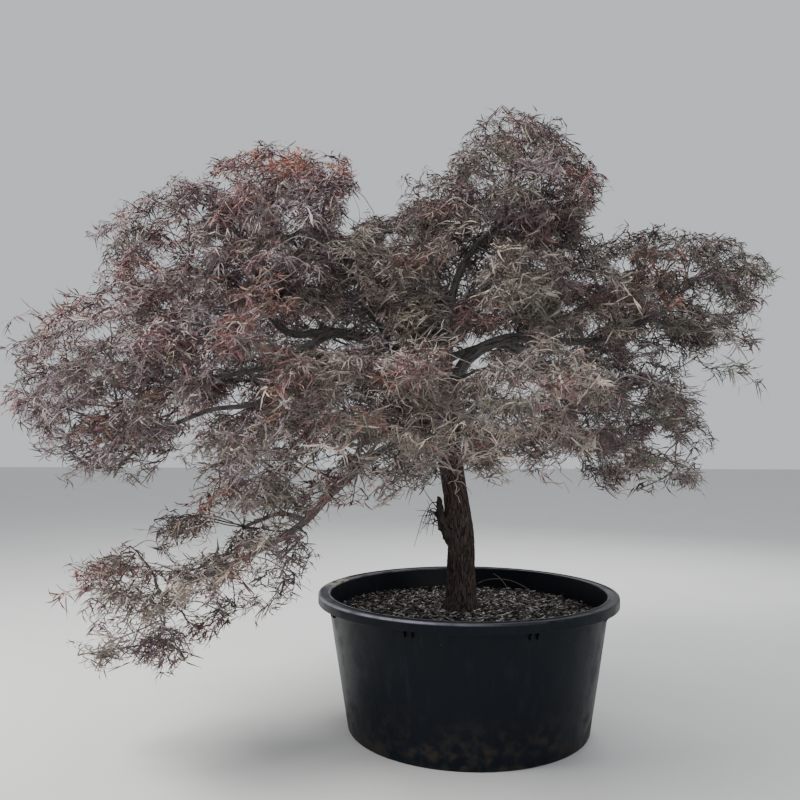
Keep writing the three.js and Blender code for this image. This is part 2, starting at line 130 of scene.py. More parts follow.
def rounded_outline(corners):
    """The points of an outline of (radius, height, rounding), with arcs in place of its corners."""
    outline = []
    for i, (radius, height, rounding) in enumerate(corners):
        here = np.array([radius, height])
        if not rounding:
            outline.append(here)
            continue
        before = np.array(corners[i - 1][:2]) - here
        after = np.array(corners[i + 1][:2]) - here
        before /= np.linalg.norm(before)
        after /= np.linalg.norm(after)
        half_turn = math.acos(np.clip(before @ after, -1, 1)) / 2
        reach = rounding / math.tan(half_turn)
        outline.append(here + before * (reach + ARC_GUARD))
        for share in np.linspace(0, 1, ARC_STEPS):
            outline.append(here + reach * ((1 - share) ** 2 * before + share**2 * after))
        outline.append(here + after * (reach + ARC_GUARD))
    return outline


def placed(name, data):
    """A new object in the scene that holds this data."""
    made = bpy.data.objects.new(name, data)
    bpy.context.scene.collection.objects.link(made)
    return made


def mesh_piece(name, places, faces, finishes, kinds=None, smooth=True):
    """A mesh at the origin from an array of places and one of triangles."""
    mesh = bpy.data.meshes.new(name)
    mesh.vertices.add(len(places))
    mesh.vertices.foreach_set("co", np.ascontiguousarray(places, np.float32).ravel())
    mesh.loops.add(faces.size)
    mesh.loops.foreach_set("vertex_index", np.ascontiguousarray(faces, np.int32).ravel())
    mesh.polygons.add(len(faces))
    mesh.polygons.foreach_set("loop_start", np.arange(0, faces.size, 3, dtype=np.int32))
    mesh.polygons.foreach_set("use_smooth", np.full(len(faces), smooth))
    for finish in finishes:
        mesh.materials.append(finish)
    if kinds is not None:
        mesh.polygons.foreach_set("material_index", np.ascontiguousarray(kinds, np.int32))
    mesh.update(calc_edges=True)
    return placed(name, mesh)


def skin_faces(rings, sides, closed_ends=True):
    """Triangles over rings of points that follow each other, with a fan on each end."""
    ring, side = np.meshgrid(np.arange(rings - 1), np.arange(sides), indexing="ij")
    low = (ring * sides + side).ravel()
    low_next = (ring * sides + (side + 1) % sides).ravel()
    faces = [
        np.stack([low, low_next, low_next + sides], axis=1),
        np.stack([low, low_next + sides, low + sides], axis=1),
    ]
    if closed_ends:
        fan = np.arange(1, sides - 1)
        last = (rings - 1) * sides
        faces.append(np.stack([0 * fan, fan + 1, fan], axis=1))
        faces.append(np.stack([0 * fan + last, last + fan, last + fan + 1], axis=1))
    return np.concatenate(faces)


class Signal:
    """One output of a node. Arithmetic on it adds Math nodes."""

    def __init__(self, nodes, socket):
        self.nodes = nodes
        self.socket = socket

    def alone(self, operation):
        return self.nodes.node("ShaderNodeMath", {"operation": operation}, {0: self})

    def with_other(self, operation, first, second):
        return self.nodes.node("ShaderNodeMath", {"operation": operation}, {0: first, 1: second})

    def __add__(self, other):
        return self.with_other("ADD", self, other)

    def __sub__(self, other):
        return self.with_other("SUBTRACT", self, other)

    def __rsub__(self, other):
        return self.with_other("SUBTRACT", other, self)

    def __mul__(self, other):
        return self.with_other("MULTIPLY", self, other)

    def __truediv__(self, other):
        return self.with_other("DIVIDE", self, other)

    def __rtruediv__(self, other):
        return self.with_other("DIVIDE", other, self)

    __radd__ = __add__
    __rmul__ = __mul__

    def between(self, low, high):
        """0 below low, 1 above high, and a smooth rise from one to the other."""
        limits = {"Value": self, "From Min": low, "From Max": high}
        return self.nodes.node("ShaderNodeMapRange", {"interpolation_type": "SMOOTHSTEP"}, limits)


class Nodes:
    """A node tree in the making."""

    def __init__(self, tree):
        self.tree = tree

    def node(self, kind, settings, values, output=0):
        """Adds a node, with its settings and what its inputs are given, and returns one output."""
        made = self.tree.nodes.new(kind)
        for setting, value in settings.items():
            setattr(made, setting, value)
        for socket, value in values.items():
            self.feed(made.inputs[socket], value)
        return Signal(self, made.outputs[output])

    def feed(self, socket, value):
        if isinstance(value, Signal):
            self.tree.links.new(value.socket, socket)
        else:
            socket.default_value = value


class Finish(Nodes):
    """A material in the making, with one Principled shader."""

    def __init__(self, name, roughness, specular):
        self.material = bpy.data.materials.new(name)
        self.material.use_nodes = True
        super().__init__(self.material.node_tree)
        self.shader = self.tree.nodes["Principled BSDF"]
        self.shader.inputs["Roughness"].default_value = roughness
        self.shader.inputs["Specular IOR Level"].default_value = specular

    def noise(self, place, scale, detail=3.0, stretch=(1, 1, 1)):
        moved = self.node("ShaderNodeMapping", {}, {"Vector": place, "Scale": stretch})
        values = {"Vector": moved, "Scale": scale, "Detail": detail}
        return self.node("ShaderNodeTexNoise", {}, values)

    def mix(self, share, first, second):
        """A blend of two colours, each a signal or three numbers."""
        first, second = ((*c, 1) if isinstance(c, tuple) else c for c in (first, second))
        return self.node("ShaderNodeMix", {"data_type": "RGBA"}, {0: share, 6: first, 7: second}, 2)

    def place(self):
        return self.node("ShaderNodeTexCoord", {}, {}, "Object")

    def parts(self, vector):
        """The three numbers of a vector."""
        split = self.node("ShaderNodeSeparateXYZ", {}, {"Vector": vector}).socket.node
        return [Signal(self, split.outputs[axis]) for axis in "XYZ"]

    def done(self, colour, roughness=None, height=None, depth=0.001):
        """Links the colour and, where they vary, the roughness and a bump of some depth."""
        self.feed(self.shader.inputs["Base Color"], colour)
        if roughness:
            self.feed(self.shader.inputs["Roughness"], roughness)
        if height:
            bump = self.node("ShaderNodeBump", {}, {"Height": height, "Distance": depth})
            self.feed(self.shader.inputs["Normal"], bump)
        return self.material


def pot_plastic():
    """Black polyethylene with fine scuffs, dust, a pale patch on the lip's far left, painted highlights and
    glints on the lip's left edges, and soil near the foot.
    """
    finish = Finish("pot_plastic", roughness=0.4, specular=0.14)
    place = finish.place()
    across, depth, height = finish.parts(place)
    on_lip = height.between(*LIP_LEVELS)
    behind = depth.between(*PALE_PATCH_FRONT) * (1 - depth.between(*PALE_PATCH_BACK))
    far_left = (1 - across.between(*PALE_PATCH_LEFT)) * behind
    patches = finish.noise(place, 11.0, 6.0).between(0.46, 0.66)
    specks = finish.noise(place, 160.0, 3.0).between(0.52, 0.70)
    scuffs = finish.noise(place, 34.0, 5.0, (1, 1, 0.06)).between(0.52, 0.78)
    dust = on_lip * (patches * 0.10 + specks * patches * 0.26)
    # A pale yellowish patch on the top of the lip at the far left.
    pale_patch = on_lip * far_left * finish.noise(place, 24.0, 4.0).between(0.40, 0.52)
    level = finish.node("ShaderNodeCombineXYZ", {}, {"X": across, "Y": depth})
    radius = finish.node("ShaderNodeVectorMath", {"operation": "LENGTH"}, {0: level}, "Value")
    bead = radius.between(RIM_RADIUS - LIP_BEAD, RIM_RADIUS - 0.004) * on_lip
    inner_bead = on_lip * (1 - radius.between(LIP_INNER_RADIUS + 0.004, LIP_INNER_RADIUS + LIP_BEAD))
    left_side = 1 - across.between(*LEFT_SIDE)
    # Painted highlights along the lip's outer edge and, fainter, its inner edge, on the left side.
    edge_highlights = (bead + inner_bead * 0.6) * left_side * finish.noise(place, 16.0, 5.0).between(0.16, 0.62)
    # Painted glints on the lip's outer edge, at the back left.
    glints = bead * left_side * depth.between(0.1, 0.2) * finish.noise(place, 30.0, 3.0).between(0.52, 0.60)
    splash = (1 - height.between(*SPLASH_LEVELS)) * finish.noise(place, 22.0, 6.0).between(0.42, 0.75)
    colour = finish.mix(scuffs * 0.6, BLACK_PLASTIC, SCUFFED_PLASTIC)
    colour = finish.mix(dust, colour, DUST_COLOUR)
    colour = finish.mix(edge_highlights * 0.85, colour, EDGE_HIGHLIGHT_COLOUR)
    colour = finish.mix(glints * 0.8, colour, GLINT_COLOUR)
    colour = finish.mix(pale_patch * 0.9, colour, PALE_PATCH_COLOUR)
    colour = finish.mix(splash * 0.55, colour, SOIL_COLOUR)
    gloss = 0.36 + patches * 0.12 + scuffs * 0.1 + dust * 0.5 + splash * 0.3
    relief = finish.noise(place, 260.0, 2.0) + specks * 0.6
    return finish.done(colour, gloss, relief, 0.0004)


def lathe_piece(name, outline, sides, finish):
    """Turns an outline that starts and ends on the axis round it, slightly out of true."""
    points = [outline[0]]
    for here in outline[1:]:
        steps = max(1, math.ceil(np.linalg.norm(here - points[-1]) / LONGEST_POT_STEP))
        start = points[-1]
        points.extend(start + (here - start) * (i + 1) / steps for i in range(steps))
    rings = np.array(points[1:-1])
    angle = 2 * math.pi * np.arange(sides) / sides
    turned = np.empty((len(rings), sides, 3))
    turned[..., 0] = rings[:, :1] * np.cos(angle)
    turned[..., 1] = rings[:, :1] * np.sin(angle)
    turned[..., 2] = rings[:, 1:]
    waves = POT_WARP * rough(turned * POT_WARP_SCALE, 3) * np.clip(rings[:, 1:] / POT_HEIGHT, 0, 1)
    turned[..., :2] *= (1 + waves / np.maximum(rings[:, :1], 0.1))[..., None]
    places = np.concatenate([turned.reshape(-1, 3), [[0, 0, points[0][1]], [0, 0, points[-1][1]]]])
    faces = skin_faces(len(rings), sides, closed_ends=False)
    side = np.arange(sides)
    after = (side + 1) % sides
    foot, top = len(places) - 2, len(places) - 1
    last = (len(rings) - 1) * sides
    under = np.stack([0 * side + foot, after, side], axis=1)
    over = np.stack([0 * side + top, last + side, last + after], axis=1)
    return mesh_piece(name, places, np.concatenate([faces, under, over]), [finish])


pot_outline = rounded_outline([
    (0, 0, 0),
    (FOOT_RADIUS, 0, 0.008),
    (WALL_TOP_RADIUS, POT_HEIGHT - LIP_THICKNESS, 0.006),
    (RIM_RADIUS - SKIRT_THICKNESS, POT_HEIGHT - LIP_THICKNESS, 0.003),
    (RIM_RADIUS - SKIRT_THICKNESS, POT_HEIGHT - SKIRT_DROP, 0.002),
    (RIM_RADIUS, POT_HEIGHT - SKIRT_DROP, 0.002),
    (RIM_RADIUS, POT_HEIGHT, 0.007),
    (RIM_RADIUS - LIP_BEAD, POT_HEIGHT, 0.002),
    (RIM_RADIUS - LIP_BEAD - LIP_DISH, POT_HEIGHT - LIP_DISH, 0.001),
    (LIP_INNER_RADIUS + LIP_BEAD, POT_HEIGHT - LIP_DISH, 0.002),
    (LIP_INNER_RADIUS + LIP_BEAD - LIP_DISH, POT_HEIGHT, 0.001),
    (LIP_INNER_RADIUS, POT_HEIGHT, 0.005),
    (FOOT_RADIUS - WALL_THICKNESS, FLOOR_THICKNESS, 0.006),
    (0, FLOOR_THICKNESS, 0),
])
plastic = pot_plastic()
pot_piece = lathe_piece("nursery_pot", pot_outline, POT_SIDES, plastic)
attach(pot_piece, "root")
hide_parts("pot")

# The gussets under the lip
# Short upright ribs, moulded in one with the pot, stand in pairs between the wall and the lip's
# turned-down edge. One pair shows at the front left.
GUSSET_PAIRS = 8
GUSSET_SPREAD = 0.030
GUSSET_THICKNESS = 0.005
GUSSET_HEIGHT = 0.060
GUSSET_FOOT = 0.012
GUSSET_SINK = 0.004
FIRST_GUSSET_TURN = math.radians(22.5)


class Maker(Nodes):
    """A Geometry Nodes tree in the making, with named inputs that a modifier sets."""

    def __init__(self, name, inputs):
        super().__init__(bpy.data.node_groups.new(name, "GeometryNodeTree"))
        self.tree.interface.new_socket("Geometry", in_out="OUTPUT", socket_type="NodeSocketGeometry")
        self.identifiers = {}
        for title, kind in inputs.items():
            socket = self.tree.interface.new_socket(title, in_out="INPUT", socket_type=f"NodeSocket{kind}")
            self.identifiers[title] = socket.identifier
        self.inputs = self.tree.nodes.new("NodeGroupInput").outputs

    def given(self, title):
        return Signal(self, self.inputs[title])

    def end(self, geometry):
        """The tree's last nodes: real geometry in place of instances, and its material."""
        real = self.node("GeometryNodeRealizeInstances", {}, {"Geometry": geometry})
        dressed = self.node(
            "GeometryNodeSetMaterial", {}, {"Geometry": real, "Material": self.given("Material")}
        )
        self.feed(self.tree.nodes.new("NodeGroupOutput").inputs[0], dressed)

    def piece(self, name, values):
        """A plain mesh piece: what the tree makes with these values."""
        made = placed(name, bpy.data.meshes.new(name))
        modifier = made.modifiers.new("make", "NODES")
        modifier.node_group = self.tree
        for title, value in values.items():
            modifier[self.identifiers[title]] = value
        graph = bpy.context.evaluated_depsgraph_get()
        mesh = bpy.data.meshes.new_from_object(made.evaluated_get(graph))
        made.modifiers.remove(modifier)
        made.data = mesh
        return made


def gusset_mesh():
    """One rib as a thin plate: upright on the wall, with a sloping lower edge."""
    under = POT_HEIGHT - LIP_THICKNESS
    outer = RIM_RADIUS - SKIRT_THICKNESS
    wall = WALL_TOP_RADIUS - GUSSET_SINK
    foot = wall - (WALL_TOP_RADIUS - FOOT_RADIUS) / POT_HEIGHT * GUSSET_HEIGHT
    plate = [
        (foot, under - GUSSET_HEIGHT),
        (foot + GUSSET_FOOT, under - GUSSET_HEIGHT),
        (outer - 0.010, under - 0.016),
        (outer - 0.002, under - 0.010),
        (outer - 0.002, under + 0.001),
        (wall, under + 0.001),
    ]
    half = GUSSET_THICKNESS / 2
    places = [(radius, side * half, height) for side in (-1, 1) for radius, height in plate]
    count = len(plate)
    faces = [tuple(range(count)), tuple(reversed(range(count, 2 * count)))]
    faces += [(i, i + count, (i + 1) % count + count, (i + 1) % count) for i in range(count)]
    mesh = bpy.data.meshes.new("gusset")
    mesh.from_pydata(places, [], faces)
    return mesh


def gusset_ring():
    """Copies a rib round the pot's axis in pairs."""
    inputs = {"Rib": "Object", "Pairs": "Int", "Spread": "Float", "Start": "Float", "Material": "Material"}
    ring = Maker("gusset_ring", inputs)
    pairs = ring.given("Pairs")
    rib = ring.node("GeometryNodeObjectInfo", {}, {"Object": ring.given("Rib")}, "Geometry")
    spots = ring.node("GeometryNodePoints", {}, {"Count": pairs * 2.0, "Position": (0, 0, 0)})
    halved = ring.node("GeometryNodeInputIndex", {}, {}) / 2.0
    pair_turn = halved.alone("FLOOR") * (2 * math.pi / pairs)
    angle = pair_turn + halved.alone("FRACT") * ring.given("Spread") + ring.given("Start")
    turn = ring.node("ShaderNodeCombineXYZ", {}, {"Z": angle})
    copies = ring.node(
        "GeometryNodeInstanceOnPoints", {}, {"Points": spots, "Instance": rib, "Rotation": turn}
    )
    ring.end(copies)
    return ring


rib_object = placed("gusset", gusset_mesh())
gussets = gusset_ring().piece("lip_gussets", {
    "Rib": rib_object,
    "Pairs": GUSSET_PAIRS,
    "Spread": 2 * GUSSET_SPREAD / WALL_TOP_RADIUS,
    "Start": FIRST_GUSSET_TURN,
    "Material": plastic,
})
bpy.data.objects.remove(rib_object)
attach(gussets, "root")

# The mulch
# Potting mix under a loose layer of pine-bark chips, from dark brown to bleached, 85 mm below the
# rim. The mix is the solid that the trunk stands on, and the chips lie on it in all directions.
CHIP_LENGTH = 0.024
CHIP_WIDTH = 0.0098
CHIP_THICKNESS = 0.0042
CHIP_SHAPES = 7
CHIP_LIFT = 0.010
CHIP_TURNS = (0.5, 0.4, 3.14)
CHIP_SIZES = (0.65, 1.35)
MIX_COLOURS = ((0.012, 0.008, 0.006), (0.055, 0.036, 0.025))
CHIPS_PER_SQUARE_METRE = {"dark": 4400, "brown": 3200, "tan": 2000, "pale": 2300}
CHIP_TONES = {
    "dark": (0.022, 0.020, 0.021),
    "brown": (0.075, 0.062, 0.056),
    "tan": (0.205, 0.182, 0.164),
    "pale": (0.50, 0.47, 0.44),
}


def potting_mix():
    """Dark, damp mix that shows between the chips."""
    finish = Finish("potting_mix", roughness=0.95, specular=0.2)
    place = finish.place()
    crumbs = finish.noise(place, 120.0, 5.0)
    return finish.done(finish.mix(crumbs.between(0.35, 0.7), *MIX_COLOURS), None, crumbs, 0.004)


def chip_wood(tone, colour):
    """Bark chip of one tone, with a fibrous grain."""
    finish = Finish(f"chip_{tone}", roughness=0.9, specular=0.25)
    place = finish.place()
    fibres = finish.noise(place, 420.0, 3.0)
    worn = tuple(min(1, 1.35 * part) for part in colour)
    deep = tuple(0.55 * part for part in colour)
    return finish.done(finish.mix(fibres.between(0.35, 0.65), deep, worn), None, fibres, 0.0008)


def chip_mesh(index, roll):
    """A flat splinter with ragged ends: two bent ends, a middle ridge and a sunk belly."""
    half = np.array([CHIP_LENGTH, CHIP_WIDTH, CHIP_THICKNESS]) / 2
    length = 0.6 + 0.9 * index / (CHIP_SHAPES - 1)
    ring = np.array([[-1, -0.3, 0], [0.3, -1, 0], [1, 0.2, 0], [-0.4, 1, 0]])
    ring = ring + roll.uniform(-0.25, 0.25, ring.shape)
    places = np.concatenate([ring, [[0.1, 0.1, 1], [-0.1, -0.1, -1]]])
    places *= half * (length, 1.25 - 0.35 * length, 1)
    corners = len(ring)
    faces = []
    for i in range(corners):
        faces += [(i, (i + 1) % corners, corners), ((i + 1) % corners, i, corners + 1)]
    mesh = bpy.data.meshes.new(f"chip_{index}")
    mesh.from_pydata(places.tolist(), [], faces)
    return mesh


def chip_scatter():
    """Strews a collection's chips over a surface, turned and tilted at random."""
    inputs = {
        "Surface": "Object", "Chips": "Collection", "Density": "Float", "Seed": "Int", "Material": "Material"
    }
    strew = Maker("chip_scatter", inputs)
    seed = strew.given("Seed")

    def drawn(low, high):
        values = {2: low, 3: high, "Seed": seed}
        return strew.node("FunctionNodeRandomValue", {"data_type": "FLOAT"}, values, 1)

    ground = strew.node("GeometryNodeObjectInfo", {}, {"Object": strew.given("Surface")}, "Geometry")
    spots = strew.node(
        "GeometryNodeDistributePointsOnFaces", {},
        {"Mesh": ground, "Density": strew.given("Density"), "Seed": seed},
    )
    lift = strew.node("ShaderNodeCombineXYZ", {}, {"Z": drawn(0.0, CHIP_LIFT)})
    raised = strew.node("GeometryNodeSetPosition", {}, {"Geometry": spots, "Offset": lift})
    turn = strew.node(
        "FunctionNodeRandomValue", {"data_type": "FLOAT_VECTOR"},
        {0: [-turn for turn in CHIP_TURNS], 1: CHIP_TURNS, "Seed": seed},
    )
    chips = strew.node(
        "GeometryNodeCollectionInfo", {},
        {"Collection": strew.given("Chips"), "Separate Children": True, "Reset Children": True},
    )
    strewn = strew.node("GeometryNodeInstanceOnPoints", {}, {
        "Points": raised, "Instance": chips, "Pick Instance": True, "Rotation": turn,
        "Scale": drawn(*CHIP_SIZES),
    })
    strew.end(strewn)
    return strew


def mulch_top():
    """The filling's upper faces, away from the trunk, as a surface to strew chips on."""
    source = frame["nodes"]["mulch"].data
    places = [tuple(vertex.co) for vertex in source.vertices]
    faces = [tuple(face.vertices) for face in source.polygons if face.normal.z > 0.7]
    mesh = bpy.data.meshes.new("mulch_top")
    mesh.from_pydata(places, [], faces)
    return mesh


mulch_node = frame["nodes"]["mulch"]
mulch_node.data.materials.clear()
mulch_node.data.materials.append(potting_mix())

surface = placed("mulch_top", mulch_top())
chip_roll = np.random.default_rng(5)
chip_shapes = bpy.data.collections.new("chip_shapes")
for index in range(CHIP_SHAPES):
    shape = bpy.data.objects.new(f"chip_{index}", chip_mesh(index, chip_roll))
    chip_shapes.objects.link(shape)
scatter = chip_scatter()
for order, (tone, colour) in enumerate(CHIP_TONES.items()):
    chips = scatter.piece(f"mulch_chips_{tone}", {
        "Surface": surface,
        "Chips": chip_shapes,
        "Density": float(CHIPS_PER_SQUARE_METRE[tone]),
        "Seed": 11 + order,
        "Material": chip_wood(tone, colour),
    })
    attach(chips, "root")
bpy.data.objects.remove(surface)
for shape in list(chip_shapes.objects):
    bpy.data.objects.remove(shape)
bpy.data.collections.remove(chip_shapes)

# Stray stems
# A few dry stems have fallen on the mulch. Two arch behind the trunk, towards the right, and one lies
# round the trunk's front.
FIRST_NORMAL = (0.3, -0.9, 0.1)
STEM_RADIUS = 0.0014
STEM_RINGS = 16
STEM_SIDES = 6
STEM_COLOURS = ((0.090, 0.064, 0.052), (0.190, 0.145, 0.118))
STRAY_STEMS = [
    [(0.02, 0.40, 0.485), (0.09, 0.41, 0.520), (0.20, 0.40, 0.522), (0.33, 0.37, 0.466)],
    [(0.13, 0.535, 0.530), (0.16, 0.46, 0.520), (0.21, 0.34, 0.466)],
    [(-0.100, -0.030, 0.474), (-0.070, -0.080, 0.473), (-0.015, -0.094, 0.473), (0.045, -0.070, 0.474)],
]


class Line:
    """A smooth line through some points, with its places at shares of its length."""

    def __init__(self, points):
        points = np.array(points, float)
        ends = [2 * points[0] - points[1], *points, 2 * points[-1] - points[-2]]
        share = np.linspace(0, 1, 60)[:, None]
        pieces = [self.bend(*ends[i : i + 4], share) for i in range(len(points) - 1)]
        self.fine = np.concatenate(pieces)
        steps = np.linalg.norm(np.diff(self.fine, axis=0), axis=1)
        self.way = np.concatenate([[0], np.cumsum(steps)])
        self.length = self.way[-1]

    @staticmethod
    def bend(before, start, end, after, share):
        """The stretch from start to end of a centripetal Catmull-Rom curve."""
        gaps = [math.sqrt(np.linalg.norm(b - a)) for a, b in ((before, start), (start, end), (end, after))]
        first = (start - before) / gaps[0] - (end - before) / (gaps[0] + gaps[1]) + (end - start) / gaps[1]
        last = (end - start) / gaps[1] - (after - start) / (gaps[1] + gaps[2]) + (after - end) / gaps[2]
        first, last = first * gaps[1], last * gaps[1]
        square = -3 * start + 3 * end - 2 * first - last
        cube = 2 * start - 2 * end + first + last
        return start + first * share + square * share**2 + cube * share**3

    def at(self, shares):
        way = np.asarray(shares) * self.length
        return np.stack([np.interp(way, self.way, self.fine[:, axis]) for axis in range(3)], axis=-1)

    def heading(self, share):
        ahead = self.at(min(share + 0.01, 1)) - self.at(max(share - 0.01, 0))
        return ahead / np.linalg.norm(ahead)


def rings_along(places, radius):
    """Rings square to a line of places. radius holds one row for each ring."""
    tangents = np.gradient(places, axis=0)
    tangents /= np.linalg.norm(tangents, axis=1)[:, None]
    normals = np.empty_like(places)
    normal = np.array(FIRST_NORMAL)
    for i, tangent in enumerate(tangents):
        normal = normal - (normal @ tangent) * tangent
        normal /= np.linalg.norm(normal)
        normals[i] = normal
    across = np.cross(tangents, normals)
    angle = 2 * math.pi * np.arange(radius.shape[1]) / radius.shape[1]
    outward = normals[:, None] * np.cos(angle)[:, None] + across[:, None] * np.sin(angle)[:, None]
    return places[:, None] + radius[..., None] * outward


def stray_piece():
    """Thin round stems, as one mesh."""
    places, faces = [], []
    for points in STRAY_STEMS:
        middles = Line(points).at(np.linspace(0, 1, STEM_RINGS))
        rings = rings_along(middles, np.full((STEM_RINGS, STEM_SIDES), STEM_RADIUS))
        faces.append(skin_faces(STEM_RINGS, STEM_SIDES) + STEM_RINGS * STEM_SIDES * len(places))
        places.append(rings.reshape(-1, 3))
    finish = Finish("dry_stem", roughness=0.8, specular=0.3)
    speckles = finish.noise(finish.place(), 90.0, 4.0).between(0.35, 0.65)
    dry = finish.done(finish.mix(speckles, *STEM_COLOURS))
    return mesh_piece("stray_stems", np.concatenate(places), np.concatenate(faces), [dry])


stray = stray_piece()
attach(stray, "root")

# The trunk
# One stem, 120 mm thick, with rough fissured bark. It flares a little into five low buttresses at
# the mulch, rises straight, and then leans to its fork. The relief is cut into its mesh.
TRUNK_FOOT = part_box("trunk")[0].z
TRUNK_OFFSET = -0.024
TRUNK_RADIUS = 0.060
FORK_RADIUS = 0.046
FORK_HEIGHT = 1.330
TRUNK_BEND_HEIGHT = 0.760
TRUNK_LEAN = -0.080
ROOT_FLARE = 1.3
FLARE_HEIGHT = 0.070
BUTTRESSES = 5
BUTTRESS_DEPTH = 0.35
BURL_TURN = math.radians(262)
BURL_HEIGHT = 0.835
BURL_SWELL = 0.022
BURL_HALF_TURN = 0.55
BURL_HALF_HEIGHT = 0.042
FORK_DOME = 0.045
TRUNK_SIDES = 168
TRUNK_STEP = 0.0042
FISSURE_DEPTH = 0.0036
FISSURE_WANDER = 0.010
FISSURE_SCALE = (150, 150, 21)
CRACK_SCALE = (320, 320, 50)
LUMP_HEIGHT = 0.0032
LUMP_SCALE = (16, 16, 6)
GRAIN_HEIGHT = 0.0007
GRAIN_SCALE = (420, 420, 110)
TRUNK_COLOURS = ((0.020, 0.014, 0.012), (0.044, 0.031, 0.027), (0.108, 0.076, 0.065), (0.078, 0.064, 0.058))


def straight_places(length, rings, sides, radius):
    """Each corner's place on the stem if it were straight, for patterns that follow the bark."""
    angle = 2 * math.pi * np.arange(sides) / sides
    straight = np.empty((rings, sides, 3))
    straight[..., 0] = radius * np.cos(angle)
    straight[..., 1] = radius * np.sin(angle)
    straight[..., 2] = np.linspace(0, length, rings)[:, None]
    return straight


def bark_piece(name, shapes, finish):
    """Ringed shapes as one mesh, which keeps its places along the bark and its furrows' depths."""
    places, faces, straights, furrows = [], [], [], []
    first = 0
    for rings, straight, furrow in shapes:
        places.append(rings.reshape(-1, 3))
        faces.append(skin_faces(*rings.shape[:2]) + first)
        straights.append(straight.ravel())
        furrows.append(furrow.ravel())
        first += len(places[-1])
    piece = mesh_piece(name, np.concatenate(places), np.concatenate(faces), [finish])
    along = piece.data.attributes.new("along_bark", "FLOAT_VECTOR", "POINT")
    along.data.foreach_set("vector", np.concatenate(straights).astype(np.float32))
    depth = piece.data.attributes.new("furrow", "FLOAT", "POINT")
    depth.data.foreach_set("value", np.concatenate(furrows).astype(np.float32))
    return piece


def bark(name, colours, grain_scale):
    """Bark that is dark in its furrows, partly its own colour and partly painted shade, worn on its ridges,
    and greyer where lichen has taken.
    """
    deep, plain, ridge, grey = colours
    finish = Finish(name, roughness=0.88, specular=0.25)
    along = finish.node("ShaderNodeAttribute", {"attribute_name": "along_bark"}, {}, "Vector")
    furrow = finish.node("ShaderNodeAttribute", {"attribute_name": "furrow"}, {}, "Fac")
    grain = finish.noise(along, grain_scale, 5.0, (1, 1, 0.16))
    clouds = finish.noise(along, 14.0, 3.0, (1, 1, 0.5))
    body = finish.mix(grain.between(0.36, 0.66), plain, ridge)
    aged = finish.mix(clouds.between(0.46, 0.70) * 0.6, body, grey)
    # Darker in the furrows: partly the bark's own colour and partly painted shade, over the relief cut into
    # the mesh.
    colour = finish.mix(furrow.between(0.15, 0.75), aged, deep)
    return finish.done(colour, 0.82 + grain * 0.15, grain, 0.0016)


trunk_line = Line([
    (TRUNK_OFFSET, 0, TRUNK_FOOT),
    (TRUNK_OFFSET, 0, (TRUNK_FOOT + TRUNK_BEND_HEIGHT) / 2),
    (TRUNK_OFFSET, 0, TRUNK_BEND_HEIGHT),
    (TRUNK_OFFSET + 0.45 * TRUNK_LEAN, 0, (TRUNK_BEND_HEIGHT + FORK_HEIGHT) / 2),
    (TRUNK_OFFSET + TRUNK_LEAN, 0, FORK_HEIGHT),
])


def trunk_radius(shares, angle):
    taper = TRUNK_RADIUS + (FORK_RADIUS - TRUNK_RADIUS) * shares**1.3
    flare = (ROOT_FLARE - 1) * np.exp(-shares * trunk_line.length / FLARE_HEIGHT)
    return taper * (1 + flare * (1 + BUTTRESS_DEPTH * np.cos(BUTTRESSES * angle)))


def cracks(places, scale, sharpness, seed):
    """Narrow furrows, 1 at their deepest, where smooth noise passes through 0."""
    return np.clip(1 - np.abs(rough(places * scale, seed)) * sharpness, 0, 1)


def trunk_shape():
    """The trunk's rings, its places along the bark and its furrows."""
    rings = round(trunk_line.length / TRUNK_STEP)
    shares = np.linspace(0, 1, rings)[:, None]
    angle = 2 * math.pi * np.arange(TRUNK_SIDES) / TRUNK_SIDES
    straight = straight_places(trunk_line.length, rings, TRUNK_SIDES, TRUNK_RADIUS)
    wandering = straight + FISSURE_WANDER * rough(straight * 9, 21)[..., None] * (1, -1, 0)
    furrow = cracks(wandering, FISSURE_SCALE, 3.4, 22) ** 1.3
    furrow = np.maximum(furrow, 0.7 * cracks(wandering, CRACK_SCALE, 3.2, 23))
    lumps = LUMP_HEIGHT * rough(straight * LUMP_SCALE, 24)
    grain = GRAIN_HEIGHT * rough(straight * GRAIN_SCALE, 25)
    dome = np.sqrt(np.clip((1.0 - shares) * trunk_line.length / FORK_DOME, 0, 1) * 0.86 + 0.14)
    aside = np.abs((angle - BURL_TURN + math.pi) % (2 * math.pi) - math.pi) / BURL_HALF_TURN
    above = (TRUNK_FOOT + shares * trunk_line.length - BURL_HEIGHT) / BURL_HALF_HEIGHT
    burl = BURL_SWELL * np.exp(-(aside**2) - above**2)
    radius = trunk_radius(shares, angle) * dome + burl + lumps + grain - FISSURE_DEPTH * furrow
    places = rings_along(trunk_line.at(shares[:, 0]), radius)
    places[0, :, 2] = TRUNK_FOOT
    return places, straight, furrow


trunk = bark_piece("trunk_bark", [trunk_shape()], bark("trunk_bark", TRUNK_COLOURS, grain_scale=170.0))
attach(trunk, "root")
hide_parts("trunk")

